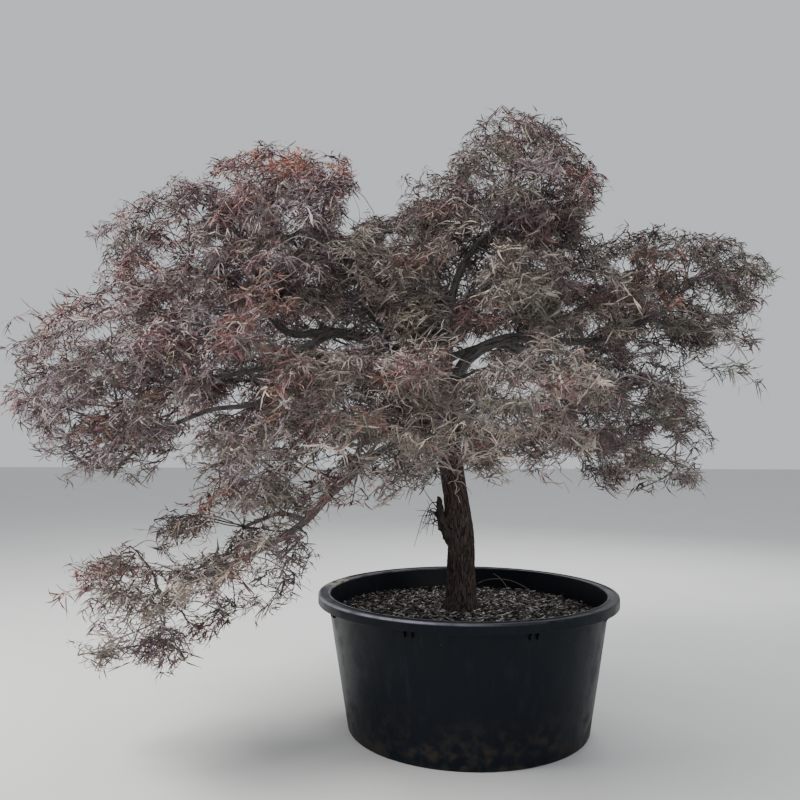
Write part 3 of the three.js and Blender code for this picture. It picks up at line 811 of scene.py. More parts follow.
# The boughs
# Living limbs with thinner grey-brown bark, finely wrinkled lengthwise. Each leaves its parent from
# a swollen collar, tapers along its bends, and ends where its foliage begins.
LIMB_STEP = 0.010
LIMB_TAPER = 0.8
COLLAR_REACH = 0.035
COLLAR_SWELL = 0.34
FORK_SWELL = 0.18
BEND_SWELL = 0.07
BEND_SCALE = (14, 14, 10)
WRINKLE_DEPTH = 0.045
WRINKLE_SCALE = (170, 170, 34)
LIMB_COLOURS = ((0.042, 0.037, 0.036), (0.096, 0.086, 0.083), (0.176, 0.161, 0.155), (0.215, 0.209, 0.206))
LIMBS = {
    "leader": dict(
        parent="trunk", at=0.96, root=0.030, end=0.011, tip=(0.150, 0.040, 2.130),
        bends=[(-0.040, 0.010, 1.870), (0.060, 0.020, 2.040)],
    ),
    "right_limb": dict(
        parent="trunk", at=0.97, root=0.035, end=0.009, tip=(0.800, 0.010, 1.710),
        bends=[(0.010, -0.020, 1.530), (0.185, -0.030, 1.612), (0.390, -0.020, 1.598), (0.610, 0, 1.615)],
    ),
    "left_limb": dict(
        parent="trunk", at=0.93, root=0.034, end=0.013, tip=(-0.880, -0.090, 1.800),
        bends=[(-0.300, -0.050, 1.560), (-0.540, -0.090, 1.636), (-0.760, -0.090, 1.645)],
    ),
    "back_limb": dict(
        parent="trunk", at=0.9, root=0.032, end=0.012, tip=(-0.060, 0.520, 1.760),
        bends=[(-0.090, 0.250, 1.590)],
    ),
    "front_limb": dict(
        parent="trunk", at=0.84, root=0.026, end=0.011, tip=(-0.010, -0.480, 1.255),
        bends=[(-0.110, -0.230, 1.240)],
    ),
    "low_limb": dict(
        parent="trunk", at=0.78, root=0.024, end=0.008, tip=(-1.060, -0.560, 0.640),
        bends=[(-0.290, -0.270, 1.160), (-0.490, -0.390, 1.000), (-0.620, -0.420, 0.866),
               (-0.820, -0.460, 0.745)],
    ),
    "spur": dict(
        parent="trunk", at=0.3, root=0.025, end=0.011, tip=(-0.126, -0.032, 0.930),
        bends=[(-0.112, -0.030, 0.838)],
    ),
    "tier_limb": dict(
        parent="left_limb", at=0.62, root=0.019, end=0.009, tip=(-0.930, -0.320, 1.440),
        bends=[(-0.780, -0.290, 1.480)],
    ),
    "outer_tier_limb": dict(
        parent="tier_limb", at=0.3, root=0.013, end=0.008, tip=(-1.170, -0.390, 1.230),
        bends=[(-0.810, -0.340, 1.335), (-1.000, -0.360, 1.300)],
    ),
    "upper_tip_limb": dict(
        parent="left_limb", at=0.86, arch=0.050, root=0.013, end=0.008, tip=(-1.090, -0.130, 1.880)
    ),
    "mid_left_limb": dict(
        parent="left_limb", at=0.36, arch=0.020, root=0.013, end=0.008, tip=(-0.430, -0.140, 1.740)
    ),
    "centre_limb": dict(
        parent="leader", at=0.34, arch=0.020, root=0.013, end=0.008, tip=(-0.010, -0.170, 1.730)
    ),
    "right_top_limb": dict(
        parent="right_limb", at=0.52, arch=0.010, root=0.015, end=0.009, tip=(0.540, -0.030, 1.770)
    ),
    "right_low_limb": dict(
        parent="right_limb", at=0.5, arch=0.030, root=0.015, end=0.008, tip=(0.560, -0.130, 1.400)
    ),
    "front_left_limb": dict(
        parent="front_limb", at=0.4, arch=0.040, root=0.016, end=0.008, tip=(-0.360, -0.480, 1.180)
    ),
    "hang_top_limb": dict(
        parent="low_limb", at=0.6, arch=0.030, root=0.010, end=0.007, tip=(-0.800, -0.430, 0.870)
    ),
    "back_left_limb": dict(
        parent="back_limb", at=0.45, arch=0.060, root=0.019, end=0.009, tip=(-0.440, 0.520, 1.620)
    ),
    "back_right_limb": dict(
        parent="back_limb", at=0.5, arch=0.060, root=0.019, end=0.009, tip=(0.330, 0.560, 1.600)
    ),
    "back_low_limb": dict(
        parent="back_limb", at=0.3, arch=0.040, root=0.016, end=0.008, tip=(-0.120, 0.680, 1.290)
    ),
    "back_left_low_limb": dict(
        parent="left_limb", at=0.42, arch=0.040, root=0.016, end=0.008, tip=(-0.780, 0.260, 1.380)
    ),
    "back_right_low_limb": dict(
        parent="right_limb", at=0.4, arch=0.040, root=0.016, end=0.008, tip=(0.540, 0.400, 1.330)
    ),
}

lines = {"trunk": trunk_line}
for name, limb in LIMBS.items():
    start = lines[limb["parent"]].at(limb["at"])
    finish_at = np.array(limb["tip"])
    arched = (start + finish_at) / 2 + (0, 0, limb.get("arch", 0))
    lines[name] = Line([start, *limb.get("bends", [arched]), finish_at])


def limb_radius(name, shares):
    limb = LIMBS[name]
    return limb["root"] + (limb["end"] - limb["root"]) * shares**LIMB_TAPER


def limb_shape(name, seed):
    """One limb's rings, places along the bark and furrows, with collars at its foot and its forks."""
    line = lines[name]
    root = LIMBS[name]["root"]
    sides = 24 if root > 0.02 else 16
    rings = max(8, round(line.length / LIMB_STEP))
    shares = np.linspace(0, 1, rings)[:, None]
    plain = limb_radius(name, shares)
    collar = 1 + COLLAR_SWELL * np.exp(-shares * line.length / COLLAR_REACH)
    for child in LIMBS.values():
        if child["parent"] == name:
            apart = (shares - child["at"]) * line.length / COLLAR_REACH
            collar = collar + FORK_SWELL * child["root"] / root * np.exp(-(apart**2))
    straight = straight_places(line.length, rings, sides, root)
    bends = rough(straight * BEND_SCALE, seed)
    furrow = 0.7 * cracks(straight, WRINKLE_SCALE, 3.2, seed + 1)
    radius = plain * collar * (1 + BEND_SWELL * bends) - WRINKLE_DEPTH * plain * furrow
    return rings_along(line.at(shares[:, 0]), radius), straight, furrow


living = [name for name in LIMBS if name != "spur"]
limb_shapes = [limb_shape(name, 40 + 3 * order) for order, name in enumerate(living)]
boughs = bark_piece("boughs", limb_shapes, bark("limb_bark", LIMB_COLOURS, grain_scale=170.0))
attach(boughs, "root")
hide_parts(*living)

# The dead stub
# An old broken limb on the trunk's left, dry and dark, with a splintered end. A few dead twigs still
# stand on it.
SPLINTER = 0.030
STUB_LUMPS = 0.010
STUB_LUMP_SCALE = (85, 85, 70)
STUB_THICKENING = 1.95
STUB_TIP_THICKENING = 0.85
STUB_SHIFT = 0.012
DEAD_TWIGS = 18
DEAD_TWIG_RINGS = 7
DEAD_TWIG_SIDES = 5
DEAD_TWIG_RADII = (0.0024, 0.0008)
DEAD_TWIG_STARTS = (0.45, 1.0)
DEAD_TWIG_TURNS = (math.pi * 0.55, math.pi * 1.9)
DEAD_TWIG_REACHES = (0.04, 0.15)
DEAD_TWIG_BENDS = (-0.03, 0.06)
DEAD_TWIG_DROPS = (-0.12, 0.11)
RAGGED_SCALE = (260, 260, 1)
DEAD_COLOURS = ((0.010, 0.008, 0.007), (0.026, 0.020, 0.018), (0.060, 0.047, 0.041), (0.085, 0.076, 0.070))


def splintered(shape):
    """A limb's shape, lumpy and thick at its foot, with its last rings drawn into uneven splinters."""
    rings, straight, furrow = shape
    outward = rings - rings.mean(axis=1, keepdims=True)
    reach = np.linalg.norm(outward, axis=2, keepdims=True)
    swelling = np.linspace(STUB_THICKENING, STUB_TIP_THICKENING, len(rings))[:, None, None] - 1
    lumps = STUB_LUMPS * rough(straight * STUB_LUMP_SCALE, 70)[..., None]
    rings += outward / reach * (swelling * reach + lumps)
    rings[..., 0] += STUB_SHIFT * np.linspace(0, 1, len(rings))[:, None]
    axis = rings[-1].mean(axis=0)
    ahead = axis - rings[-3].mean(axis=0)
    ahead /= np.linalg.norm(ahead)
    ragged = rough(straight[-1] * RAGGED_SCALE, 71)
    rings[-1] += ahead * (SPLINTER * ragged)[:, None]
    rings[-2] += ahead * (0.5 * SPLINTER * ragged)[:, None]
    rings[-1] = axis + (rings[-1] - axis) * 0.8
    return rings, straight, furrow


def dead_twig(line, roll):
    """A thin dead twig that leans out from the stub and droops."""
    foot = line.at(roll.uniform(*DEAD_TWIG_STARTS))
    angle = roll.uniform(*DEAD_TWIG_TURNS)
    out = np.array([math.cos(angle), math.sin(angle), 0])
    reach = roll.uniform(*DEAD_TWIG_REACHES)
    bend = foot + out * reach * 0.45 + (0, 0, roll.uniform(*DEAD_TWIG_BENDS))
    tip = foot + out * reach + (0, 0, roll.uniform(*DEAD_TWIG_DROPS))
    twig = Line([foot, bend, tip])
    middles = twig.at(np.linspace(0, 1, DEAD_TWIG_RINGS))
    radius = np.repeat(np.linspace(*DEAD_TWIG_RADII, DEAD_TWIG_RINGS)[:, None], DEAD_TWIG_SIDES, axis=1)
    straight = straight_places(twig.length, *radius.shape, 0.002)
    return rings_along(middles, radius), straight, np.zeros(radius.shape)


dead_roll = np.random.default_rng(8)
dead_shapes = [dead_twig(lines["spur"], dead_roll) for _ in range(DEAD_TWIGS)]
dead_bark = bark("dead_bark", DEAD_COLOURS, grain_scale=150.0)
stub = bark_piece("dead_stub", [splintered(limb_shape("spur", 160)), *dead_shapes], dead_bark)
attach(stub, "root")
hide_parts("spur")

# The twigs
# Each limb ends in a cushion of foliage. From its tip, twigs fork towards sprays that are spread
# evenly through the cushion, and each spray forks again in the same way into its finest twigs.
PLASTIC_NUMBER = 1.324717957244746
SPRAY_SPACING = 0.6
INNER_SHARE = 0.25
MASS_TRIES = 4000
MASS_REACH = 0.93
SPRAY_TRIES = 240
STEM_LENGTH = 0.045
DETOUR_WEIGHT = 0.42
FLATTENING = 1.5
PIPE_POWER = 2.6
LIMB_CLEARANCE = 0.012
FRONT_VIEWPOINT = np.array([0, -3.35, 1.18])
# The shares of each limb that stay bare, as seen from the front viewpoint
OPENING_LENGTH = 1.0
OPENING_RADIUS = 0.068
OPENINGS = {
    "right_limb": (0.21, 0.43),
    "left_limb": (0.60, 0.84),
    "leader": (0.66, 0.86),
    "tier_limb": (0.80, 1.0),
    "outer_tier_limb": (0.50, 0.80),
}
# A spray is a small flat cushion. Some of those far out are long shoots instead.
TWIGS_PER_SPRAY = 9
SPRAY_HALF = np.array([0.150, 0.085, 0.045])
SPRAY_STEM = 0.012
FROM_TRUNK = 0.4
SPRAY_DROOP = 0.045
DROOP_SIZES = (-0.4, 2.2)
LEAST_SPRAY_REACH = 0.88
SPRAY_REACH_RANGE = 0.20
SPRAY_LEAD = 0.060
SHOOT_SHARE = 0.22
SHOOT_HALF = np.array([0.210, 0.055, 0.035])
SHOOT_LEAD = 0.130
SHOOT_START = 0.68
SHOOT_REACH = 1.34
BLENDING = 6.5
EDGE_WAVES = 0.16
EDGE_WAVE_SCALE = 6.5
STRAY = 1.22
FORK_SWELLING = 1.15
STRAND_SIDES = 5
STRAND_STEP = 0.022
CROOKEDNESS = 0.006
CROOK_SCALE = 26
FINEST_RADIUS = 0.0012
FINEST_TAPER = (1.1, 0.85)
SAG = 0.16
BARE_SHARES = {"front_centre": 0.36, "centre": 0.30, "mid_left": 0.40, "front_left": 0.15}
OTHER_BARE_SHARE = 0.06
PALE_SHARE = 0.22
TWIG_ROUGHNESS = 0.8
ODD_HEADING = (0.13, 0.21, 0.97)
YOUNG_COLOURS = ((0.045, 0.038, 0.037), (0.085, 0.075, 0.071), (0.165, 0.150, 0.143), (0.215, 0.205, 0.198))
TWIG_COLOURS = {"twig_brown": (0.070, 0.050, 0.043), "twig_bleached": (0.300, 0.245, 0.205)}
# The limb that carries each cushion, its middle, its half sizes and its number of sprays
MASSES = {
    "crown_top": ("leader", (0.185, 0.060, 2.310), (0.430, 0.420, 0.385), 101),
    "right_inner": ("right_top_limb", (0.58, -0.02, 1.89), (0.40, 0.38, 0.30), 50),
    "upper_left": ("left_limb", (-0.77, -0.06, 2.12), (0.48, 0.43, 0.38), 137),
    "back_top": ("back_limb", (-0.15, 0.48, 2.00), (0.45, 0.42, 0.35), 56),
    "front_centre": ("front_limb", (0.10, -0.72, 1.32), (0.44, 0.39, 0.29), 68),
    "hang_inner": ("hang_top_limb", (-0.86, -0.47, 0.79), (0.33, 0.33, 0.25), 21),
    "left_tier": ("tier_limb", (-0.96, -0.36, 1.56), (0.44, 0.40, 0.29), 74),
    "left_outer": ("outer_tier_limb", (-1.40, -0.38, 1.40), (0.40, 0.39, 0.36), 62),
    "upper_left_tip": ("upper_tip_limb", (-1.26, -0.12, 2.01), (0.33, 0.34, 0.30), 38),
    "mid_left": ("mid_left_limb", (-0.39, -0.13, 1.89), (0.37, 0.38, 0.30), 63),
    "centre": ("centre_limb", (0.04, -0.24, 1.80), (0.40, 0.34, 0.30), 68),
    "right_outer": ("right_limb", (0.96, 0.02, 1.85), (0.31, 0.35, 0.29), 38),
    "right_low": ("right_low_limb", (0.66, -0.13, 1.30), (0.42, 0.37, 0.34), 25),
    "front_left": ("front_left_limb", (-0.50, -0.70, 1.24), (0.45, 0.39, 0.31), 60),
    "hang_tip": ("low_limb", (-1.19, -0.58, 0.58), (0.32, 0.30, 0.24), 21),
    "back_left": ("back_left_limb", (-0.68, 0.60, 1.78), (0.47, 0.44, 0.34), 50),
    "back_right": ("back_right_limb", (0.52, 0.65, 1.79), (0.46, 0.43, 0.34), 50),
    "back_low": ("back_low_limb", (-0.12, 0.92, 1.33), (0.46, 0.38, 0.32), 45),
    "back_left_low": ("back_left_low_limb", (-0.96, 0.34, 1.34), (0.42, 0.40, 0.32), 45),
    "back_right_low": ("back_right_low_limb", (0.70, 0.56, 1.28), (0.40, 0.40, 0.31), 50),
    "fork_left": ("left_limb", (-0.276, -0.320, 1.450), (0.27, 0.21, 0.20), 18),
    "fork_middle": ("leader", (-0.075, -0.300, 1.540), (0.17, 0.17, 0.27), 13),
    "tier_cover": ("tier_limb", (-0.62, -0.45, 1.45), (0.23, 0.19, 0.16), 10),
}
# How far along its limb a cushion starts, where that isn't the limb's tip
SIDE_STEMS = {"fork_left": 0.20, "fork_middle": 0.24, "tier_cover": 0.30}
SPACE_SPARE = 0.015
# The radius of the crown's narrow top at some heights
TAPER_HEIGHTS = (2.16, 2.22, 2.36, 2.52, 2.64, 2.70)
TAPER_RADII = (0.60, 0.43, 0.345, 0.23, 0.165, 0.09)
TAPER_AXIS = (0.215, 0.080)
TAPER_ZONE = 0.62
# Where the crown is open, as a place and a radius
CROWN_GAPS = [
    (-0.410, 0, 2.420, 0.110),
    (-0.388, 0, 2.315, 0.095),
    (-0.345, 0, 2.205, 0.060),
    (-0.475, 0, 2.215, 0.075),
    (-0.520, 0, 2.120, 0.050),
    (-1.200, 0, 2.440, 0.085),
    (-1.075, 0, 2.330, 0.042),
    (-1.180, 0, 2.202, 0.040),
    (-1.290, 0, 2.115, 0.045),
    (-1.093, 0, 2.070, 0.035),
    (0.590, 0, 2.130, 0.090),
    (0.720, 0, 2.220, 0.150),
    (0.900, 0, 2.210, 0.140),
    (1.080, 0, 2.190, 0.150),
    (1.200, 0, 2.120, 0.120),
    (1.060, -0.130, 1.330, 0.110),
    (1.100, -0.130, 1.130, 0.130),
    (1.020, -0.130, 0.990, 0.100),
    (0.500, -0.130, 1.640, 0.035),
    (0.690, -0.130, 1.370, 0.045),
    (0.480, -0.130, 1.285, 0.050),
    (0.440, -0.130, 1.080, 0.050),
    (0.770, -0.130, 1.200, 0.050),
]
CROWN_GAP_DEPTH = 2.0
LIMB_SHARES = np.linspace(0, 1, 40)
mass_middles = np.array([middle for _, middle, _, _ in MASSES.values()])
mass_halves = np.array([half for _, _, half, _ in MASSES.values()])
mass_names = list(MASSES)


def sight_line(place, start, end):
    """Places on the way from the front viewpoint to a place, from start to end metres before it."""
    ahead = FRONT_VIEWPOINT - np.array(place)
    ahead /= np.linalg.norm(ahead)
    return place + ahead * np.arange(start, end, OPENING_RADIUS / 2)[:, None]


def bare_places_and_radii():
    """Where no twig may go: the limbs, the ways to those that show bare, and the crown's gaps."""
    found = [line.at(LIMB_SHARES) for line in lines.values()]
    radii = [trunk_radius(LIMB_SHARES, 0)] + [limb_radius(name, LIMB_SHARES) for name in LIMBS]
    radii = [radius + LIMB_CLEARANCE for radius in radii]
    for name, shares in OPENINGS.items():
        for place in lines[name].at(np.linspace(*shares, 9)):
            found.append(sight_line(place, 0, OPENING_LENGTH))
            radii.append(np.full(len(found[-1]), OPENING_RADIUS))
    for *place, radius in CROWN_GAPS:
        found.append(sight_line(place, -CROWN_GAP_DEPTH / 2, CROWN_GAP_DEPTH / 2))
        radii.append(np.full(len(found[-1]), radius))
    return np.concatenate(found), np.concatenate(radii)


def dice(word):
    """Random numbers that come in the same order each time for one seed word."""
    return np.random.default_rng(zlib.crc32(word.encode()))


def pulls(places):
    """How far places lie from every mass's middle, less that mass's own reach."""
    reach = (mass_halves * (1, 1, FLATTENING)).sum(axis=1) / 3
    apart = (places[:, None] - mass_middles) * (1, 1, FLATTENING)
    return (apart**2).sum(axis=2) - reach**2


def outwardness(places):
    """How far out places lie in the crown: 1 on the uneven skin where its rounded masses run together.

    Seen from the front, the nearer half of a mass doesn't stand out past its middle. The top tapers.
    """
    offsets = places[:, None] - FRONT_VIEWPOINT
    nearness = np.maximum(1, (mass_middles - FRONT_VIEWPOINT)[:, 1] / offsets[..., 1])
    seen = offsets * np.stack([nearness, np.ones_like(nearness), nearness], axis=2) + FRONT_VIEWPOINT
    each = np.linalg.norm((seen - mass_middles) / mass_halves, axis=2)
    joint = -np.log(np.exp(-BLENDING * each).sum(axis=1)) / BLENDING
    from_axis = np.linalg.norm(places[:, :2] - TAPER_AXIS, axis=1)
    taper = from_axis / np.interp(places[:, 2], TAPER_HEIGHTS, TAPER_RADII)
    at_top = (from_axis < TAPER_ZONE) & (places[:, 2] > TAPER_HEIGHTS[0])
    joint = np.where(at_top, np.maximum(joint, taper), joint)
    return joint * (1 + EDGE_WAVES * rough(places * EDGE_WAVE_SCALE, 5))


def in_reach(places, spare):
    """Whether places lie in the solids' box, let out by some metres."""
    low, high = np.array(cad_box[0]), np.array(cad_box[1])
    return ((places > low - spare) & (places < high + spare)).all(axis=-1)


def in_space(name, places, beyond):
    """Whether places lie in the crown and in a mass's own space, on its side of the others."""
    own = mass_names.index(name)
    nearest = pulls(places).argmin(axis=1) == own
    return nearest & (outwardness(places) < beyond) & in_reach(places, SPACE_SPARE)


bare_places, bare_radii = bare_places_and_radii()


def clear_of_limbs(places):
    """Whether places are clear of the limbs and of all that stays open."""
    low, high = places.min(axis=0) - bare_radii.max(), places.max(axis=0) + bare_radii.max()
    near = ((bare_places > low) & (bare_places < high)).all(axis=1)
    apart = np.linalg.norm(places[:, None] - bare_places[near], axis=2)
    return (apart > bare_radii[near]).all(axis=1)


def spread_places(middle, axes, half, count, tries, roll, allowed):
    """Places spread evenly by a sequence of the plastic number, denser towards the outside."""
    order = np.arange(tries)
    turn = 2 * math.pi * ((order / PLASTIC_NUMBER + roll.random()) % 1)
    lift = 2 * ((order / PLASTIC_NUMBER**2) % 1) - 1
    flat = np.sqrt(1 - lift**2)
    share = INNER_SHARE + (1 - INNER_SHARE) * np.sqrt(roll.random(tries))
    unit = np.stack([flat * np.cos(turn), flat * np.sin(turn), lift], axis=1)
    places = middle + (unit * share[:, None] * half) @ axes
    places = places[allowed(places)]
    spacing = SPRAY_SPACING * np.cbrt(np.prod(half) * 4 / count)
    kept = np.empty((0, 3))
    for place in places:
        if len(kept) == count:
            break
        if not len(kept) or np.linalg.norm(kept - place, axis=1).min() > spacing:
            kept = np.vstack([kept, place])
    return kept


def join_places(foot, stem, places):
    """Joins places by twigs: nearest first, each to the joint that gives the shortest way."""
    joints = [foot, stem]
    parents = [-1, 0]
    ways = [0.0, np.linalg.norm(stem - foot)]
    for place in places[np.argsort(np.linalg.norm(places - stem, axis=1))]:
        apart = np.linalg.norm(np.array(joints[1:]) - place, axis=1)
        best = 1 + int(np.argmin(apart + DETOUR_WEIGHT * np.array(ways[1:])))
        joints.append(place)
        parents.append(best)
        ways.append(ways[best] + apart[best - 1])
    return np.array(joints), parents


def tips_beyond(parents):
    """How many tips each joint carries."""
    tips = np.ones(len(parents))
    tips[:2] = 0
    for joint in range(len(parents) - 1, 0, -1):
        tips[parents[joint]] += tips[joint]
    return tips


def strands_of(parents):
    """Runs of joints: each twig runs on through its joints, and the others fork off from it."""
    strands = []
    for joint in range(1, len(parents)):
        for strand in strands:
            if strand[-1] == parents[joint]:
                strand.append(joint)
                break
        else:
            strands.append([parents[joint], joint])
    return strands


def stout_strands(end_radius, joints, parents):
    """The twigs up to a mass's sprays, each as points and radii."""
    tips = tips_beyond(parents)
    finest = end_radius / max(1, tips[1]) ** (1 / PIPE_POWER)
    radii = np.minimum(end_radius, finest * np.maximum(1, tips) ** (1 / PIPE_POWER))
    strands = []
    for strand in strands_of(parents):
        strand_radii = radii[strand].copy()
        if strand[0] != 0:
            strand_radii[0] = min(strand_radii[0], FORK_SWELLING * strand_radii[1])
        strands.append((joints[strand], strand_radii))
    return strands


def fits_mass(name, beyond):
    """A test of whether places suit a mass's twigs."""
    return lambda places: in_space(name, places, beyond) & clear_of_limbs(places)


def grow_spray(name, foot, before, here, roll):
    """The spray at the end of the twig from before to here, or None where it has no room."""
    _, middle, mass_half, _ = MASSES[name]
    along = (here - before) / np.linalg.norm(here - before)
    flat_out = (here - foot + FROM_TRUNK * here) * (1, 1, 0)
    flat_out /= max(np.linalg.norm(flat_out), 1e-6)
    droop = SPRAY_DROOP * roll.uniform(*DROOP_SIZES)
    half, lead = SPRAY_HALF, SPRAY_LEAD
    reach = LEAST_SPRAY_REACH + SPRAY_REACH_RANGE * roll.random() ** 2
    if roll.random() < SHOOT_SHARE and outwardness(here[None])[0] > SHOOT_START:
        half, lead, reach = SHOOT_HALF, SHOOT_LEAD, SHOOT_REACH
    stream = lead * flat_out - (0, 0, droop)
    cushion = here + stream
    stream /= np.linalg.norm(stream)
    beside = np.array([-flat_out[1], flat_out[0], 0])
    axes = np.array([stream, beside, np.cross(stream, beside)])
    fine = spread_places(cushion, axes, half, TWIGS_PER_SPRAY, SPRAY_TRIES, roll, fits_mass(name, reach))
    if len(fine) < 3:
        return None
    joints, parents = join_places(here, here + SPRAY_STEM * along, fine)
    lift = (here[2] - middle[2]) / mass_half[2]
    return dict(mass=name, joints=joints, parents=parents, out=flat_out, lift=lift, reach=reach)


def grow_mass(name):
    """One mass's stout twigs, as strands, and its sprays."""
    limb, middle, half, count = MASSES[name]
    roll = dice(name)
    foot = lines[limb].at(SIDE_STEMS.get(name, 1.0))
    outward = middle - foot if name in SIDE_STEMS else lines[limb].heading(1)
    stem = foot + outward / np.linalg.norm(outward) * STEM_LENGTH
    widest = STRAY * np.array(half)
    inside = fits_mass(name, MASS_REACH)
    places = spread_places(middle, np.eye(3), widest, count, MASS_TRIES, roll, inside)
    joints, parents = join_places(foot, stem, places)
    sprays = []
    for joint in range(2, len(joints)):
        sprays.append(grow_spray(name, foot, joints[parents[joint]], joints[joint], roll))
    return stout_strands(LIMBS[limb]["end"], joints, parents), [spray for spray in sprays if spray]


strands, sprays = [], []
for name in MASSES:
    mass_strands, mass_sprays = grow_mass(name)
    strands += mass_strands
    sprays += mass_sprays


def strand_shape(points, radii, seed):
    """A forking twig as a tube with five sides, slightly crooked."""
    line = Line(points)
    rings = max(4, round(line.length / STRAND_STEP))
    shares = np.linspace(0, 1, rings)
    ways = np.concatenate([[0], np.cumsum(np.linalg.norm(np.diff(points, axis=0), axis=1))])
    radius = np.interp(shares, ways / ways[-1], radii)
    crooked = np.stack([rough(line.at(shares) * CROOK_SCALE, seed + k) for k in range(3)], axis=1)
    crooked[0] = crooked[-1] = 0
    places = line.at(shares) + CROOKEDNESS * crooked
    straight = straight_places(line.length, rings, STRAND_SIDES, radii[0])
    radius = np.repeat(radius[:, None], STRAND_SIDES, axis=1)
    return rings_along(places, radius), straight, np.zeros((rings, STRAND_SIDES))


strand_shapes = [strand_shape(*strand, 300 + order) for order, strand in enumerate(strands)]
branchlets = bark_piece("branchlets", strand_shapes, bark("young_bark", YOUNG_COLOURS, grain_scale=240.0))
foliage_nodes = [f"{name}_foliage" for name in MASSES if f"{name}_foliage" in frame["nodes"]]
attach(branchlets, "root")
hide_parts(*foliage_nodes)


def fine_twigs(starts, ends, start_radii, end_radii, sag):
    """Many three-sided twigs at once, each bent at its middle."""
    ahead = ends - starts
    length = np.linalg.norm(ahead, axis=1)[:, None]
    ahead = ahead / length
    side = np.cross(ahead, ODD_HEADING)
    side /= np.linalg.norm(side, axis=1)[:, None]
    above = np.cross(side, ahead)
    middles = (starts + ends) / 2 + sag * length
    stations = [(starts, start_radii), (middles, (start_radii + end_radii) / 2), (ends, end_radii)]
    corners = []
    for place, radius in stations:
        for turn in (0, 2 * math.pi / 3, 4 * math.pi / 3):
            outward = side * math.cos(turn) + above * math.sin(turn)
            corners.append(place + radius[:, None] * outward)
    places = np.stack(corners, axis=1)
    faces = skin_faces(3, 3)[None] + 9 * np.arange(len(starts))[:, None, None]
    return places.reshape(-1, 3), faces.reshape(-1, 3)


def plain_finish(name, colour, roughness):
    """One colour of dry leaf or twig, dealt out by spray."""
    return Finish(name, roughness, specular=0.3).done((*colour, 1))


fine_rows = []
for order, spray in enumerate(sprays):
    roll = dice(f"{spray['mass']} {order}")
    spray["bare"] = roll.random() < BARE_SHARES.get(spray["mass"], OTHER_BARE_SHARE)
    pale = spray["bare"] or roll.random() < PALE_SHARE
    joints, parents = spray["joints"], spray["parents"]
    thickness = FINEST_RADIUS * np.maximum(1, tips_beyond(parents))[1:] ** (1 / PIPE_POWER)
    kinds = np.full(len(thickness), int(pale))
    ends_radii = [thickness * part for part in FINEST_TAPER]
    fine_rows.append((joints[parents[1:]], joints[1:], *ends_radii, kinds))
*ends_and_radii, kinds = (np.concatenate(column) for column in zip(*fine_rows))
sag = dice("sag").uniform(-SAG, SAG, ends_and_radii[0].shape)
places, faces = fine_twigs(*ends_and_radii, sag)
twig_finishes = [plain_finish(name, colour, TWIG_ROUGHNESS) for name, colour in TWIG_COLOURS.items()]
twigs = mesh_piece("fine_twigs", places, faces, twig_finishes, np.repeat(kinds, len(skin_faces(3, 3))))
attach(twigs, "root")
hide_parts(*foliage_nodes)

# The arching twigs
# Long, thin and mostly bare twigs, dry and bleached grey, that grow from the sprays' feet and arch out
# over the cushions. Most of them show in the middle of the crown and at its front.
ARCHING_LENGTHS = (0.20, 0.46)
ARCHING_RADII = 0.0023 * np.array([1.3, 1.0, 0.7, 0.4])
ARCHING_RISES = (0.06, 0.20)
ARCHING_DROPS = (-0.05, 0.40)
ARCHING_REACH = 1.03
ARCHING_TRIES = 12
ARCHING_TWIGS = {"mid_left": 60, "centre": 34, "front_centre": 30, "front_left": 20, "fork_left": 14}
OTHER_ARCHING_TWIGS = 9
BLEACHED_COLOURS = (
    (0.100, 0.094, 0.091), (0.205, 0.193, 0.186), (0.320, 0.302, 0.290), (0.400, 0.385, 0.372)
)


def arching_twig(spray, roll):
    """The points of a twig that arches over from a spray's foot, or None where it has no room."""
    foot = spray["joints"][0]
    turn = roll.uniform(0, 2 * math.pi)
    length = roll.uniform(*ARCHING_LENGTHS)
    side = np.array([math.cos(turn), math.sin(turn), 0])
    rise = roll.uniform(*ARCHING_RISES)
    end = foot + length * side - (0, 0, length * roll.uniform(*ARCHING_DROPS))
    points = np.array([
        foot,
        foot + length * (0.35 * side + (0, 0, rise)),
        0.35 * foot + 0.65 * end + (0, 0, 0.8 * rise * length),
        end,
    ])
    inside = in_reach(points, SPACE_SPARE) & (outwardness(points) < ARCHING_REACH)
    return points if (inside & clear_of_limbs(points))[1:].all() else None


def arching_of(name):
    """The points of each arching twig of one mass."""
    roll = dice(f"arching {name}")
    own_sprays = [spray for spray in sprays if spray["mass"] == name]
    wanted = ARCHING_TWIGS.get(name, OTHER_ARCHING_TWIGS)
    found = []
    for _ in range(wanted * ARCHING_TRIES):
        points = arching_twig(own_sprays[roll.integers(len(own_sprays))], roll)
        if points is not None:
            found.append(points)
        if len(found) == wanted:
            break
    return found


arching = [points for name in MASSES for points in arching_of(name)]
shapes = [strand_shape(points, ARCHING_RADII, 5000 + 4 * order) for order, points in enumerate(arching)]
bleached_bark = bark("bleached_bark", BLEACHED_COLOURS, grain_scale=240.0)
arching_twigs = bark_piece("arching_twigs", shapes, bleached_bark)
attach(arching_twigs, "root")
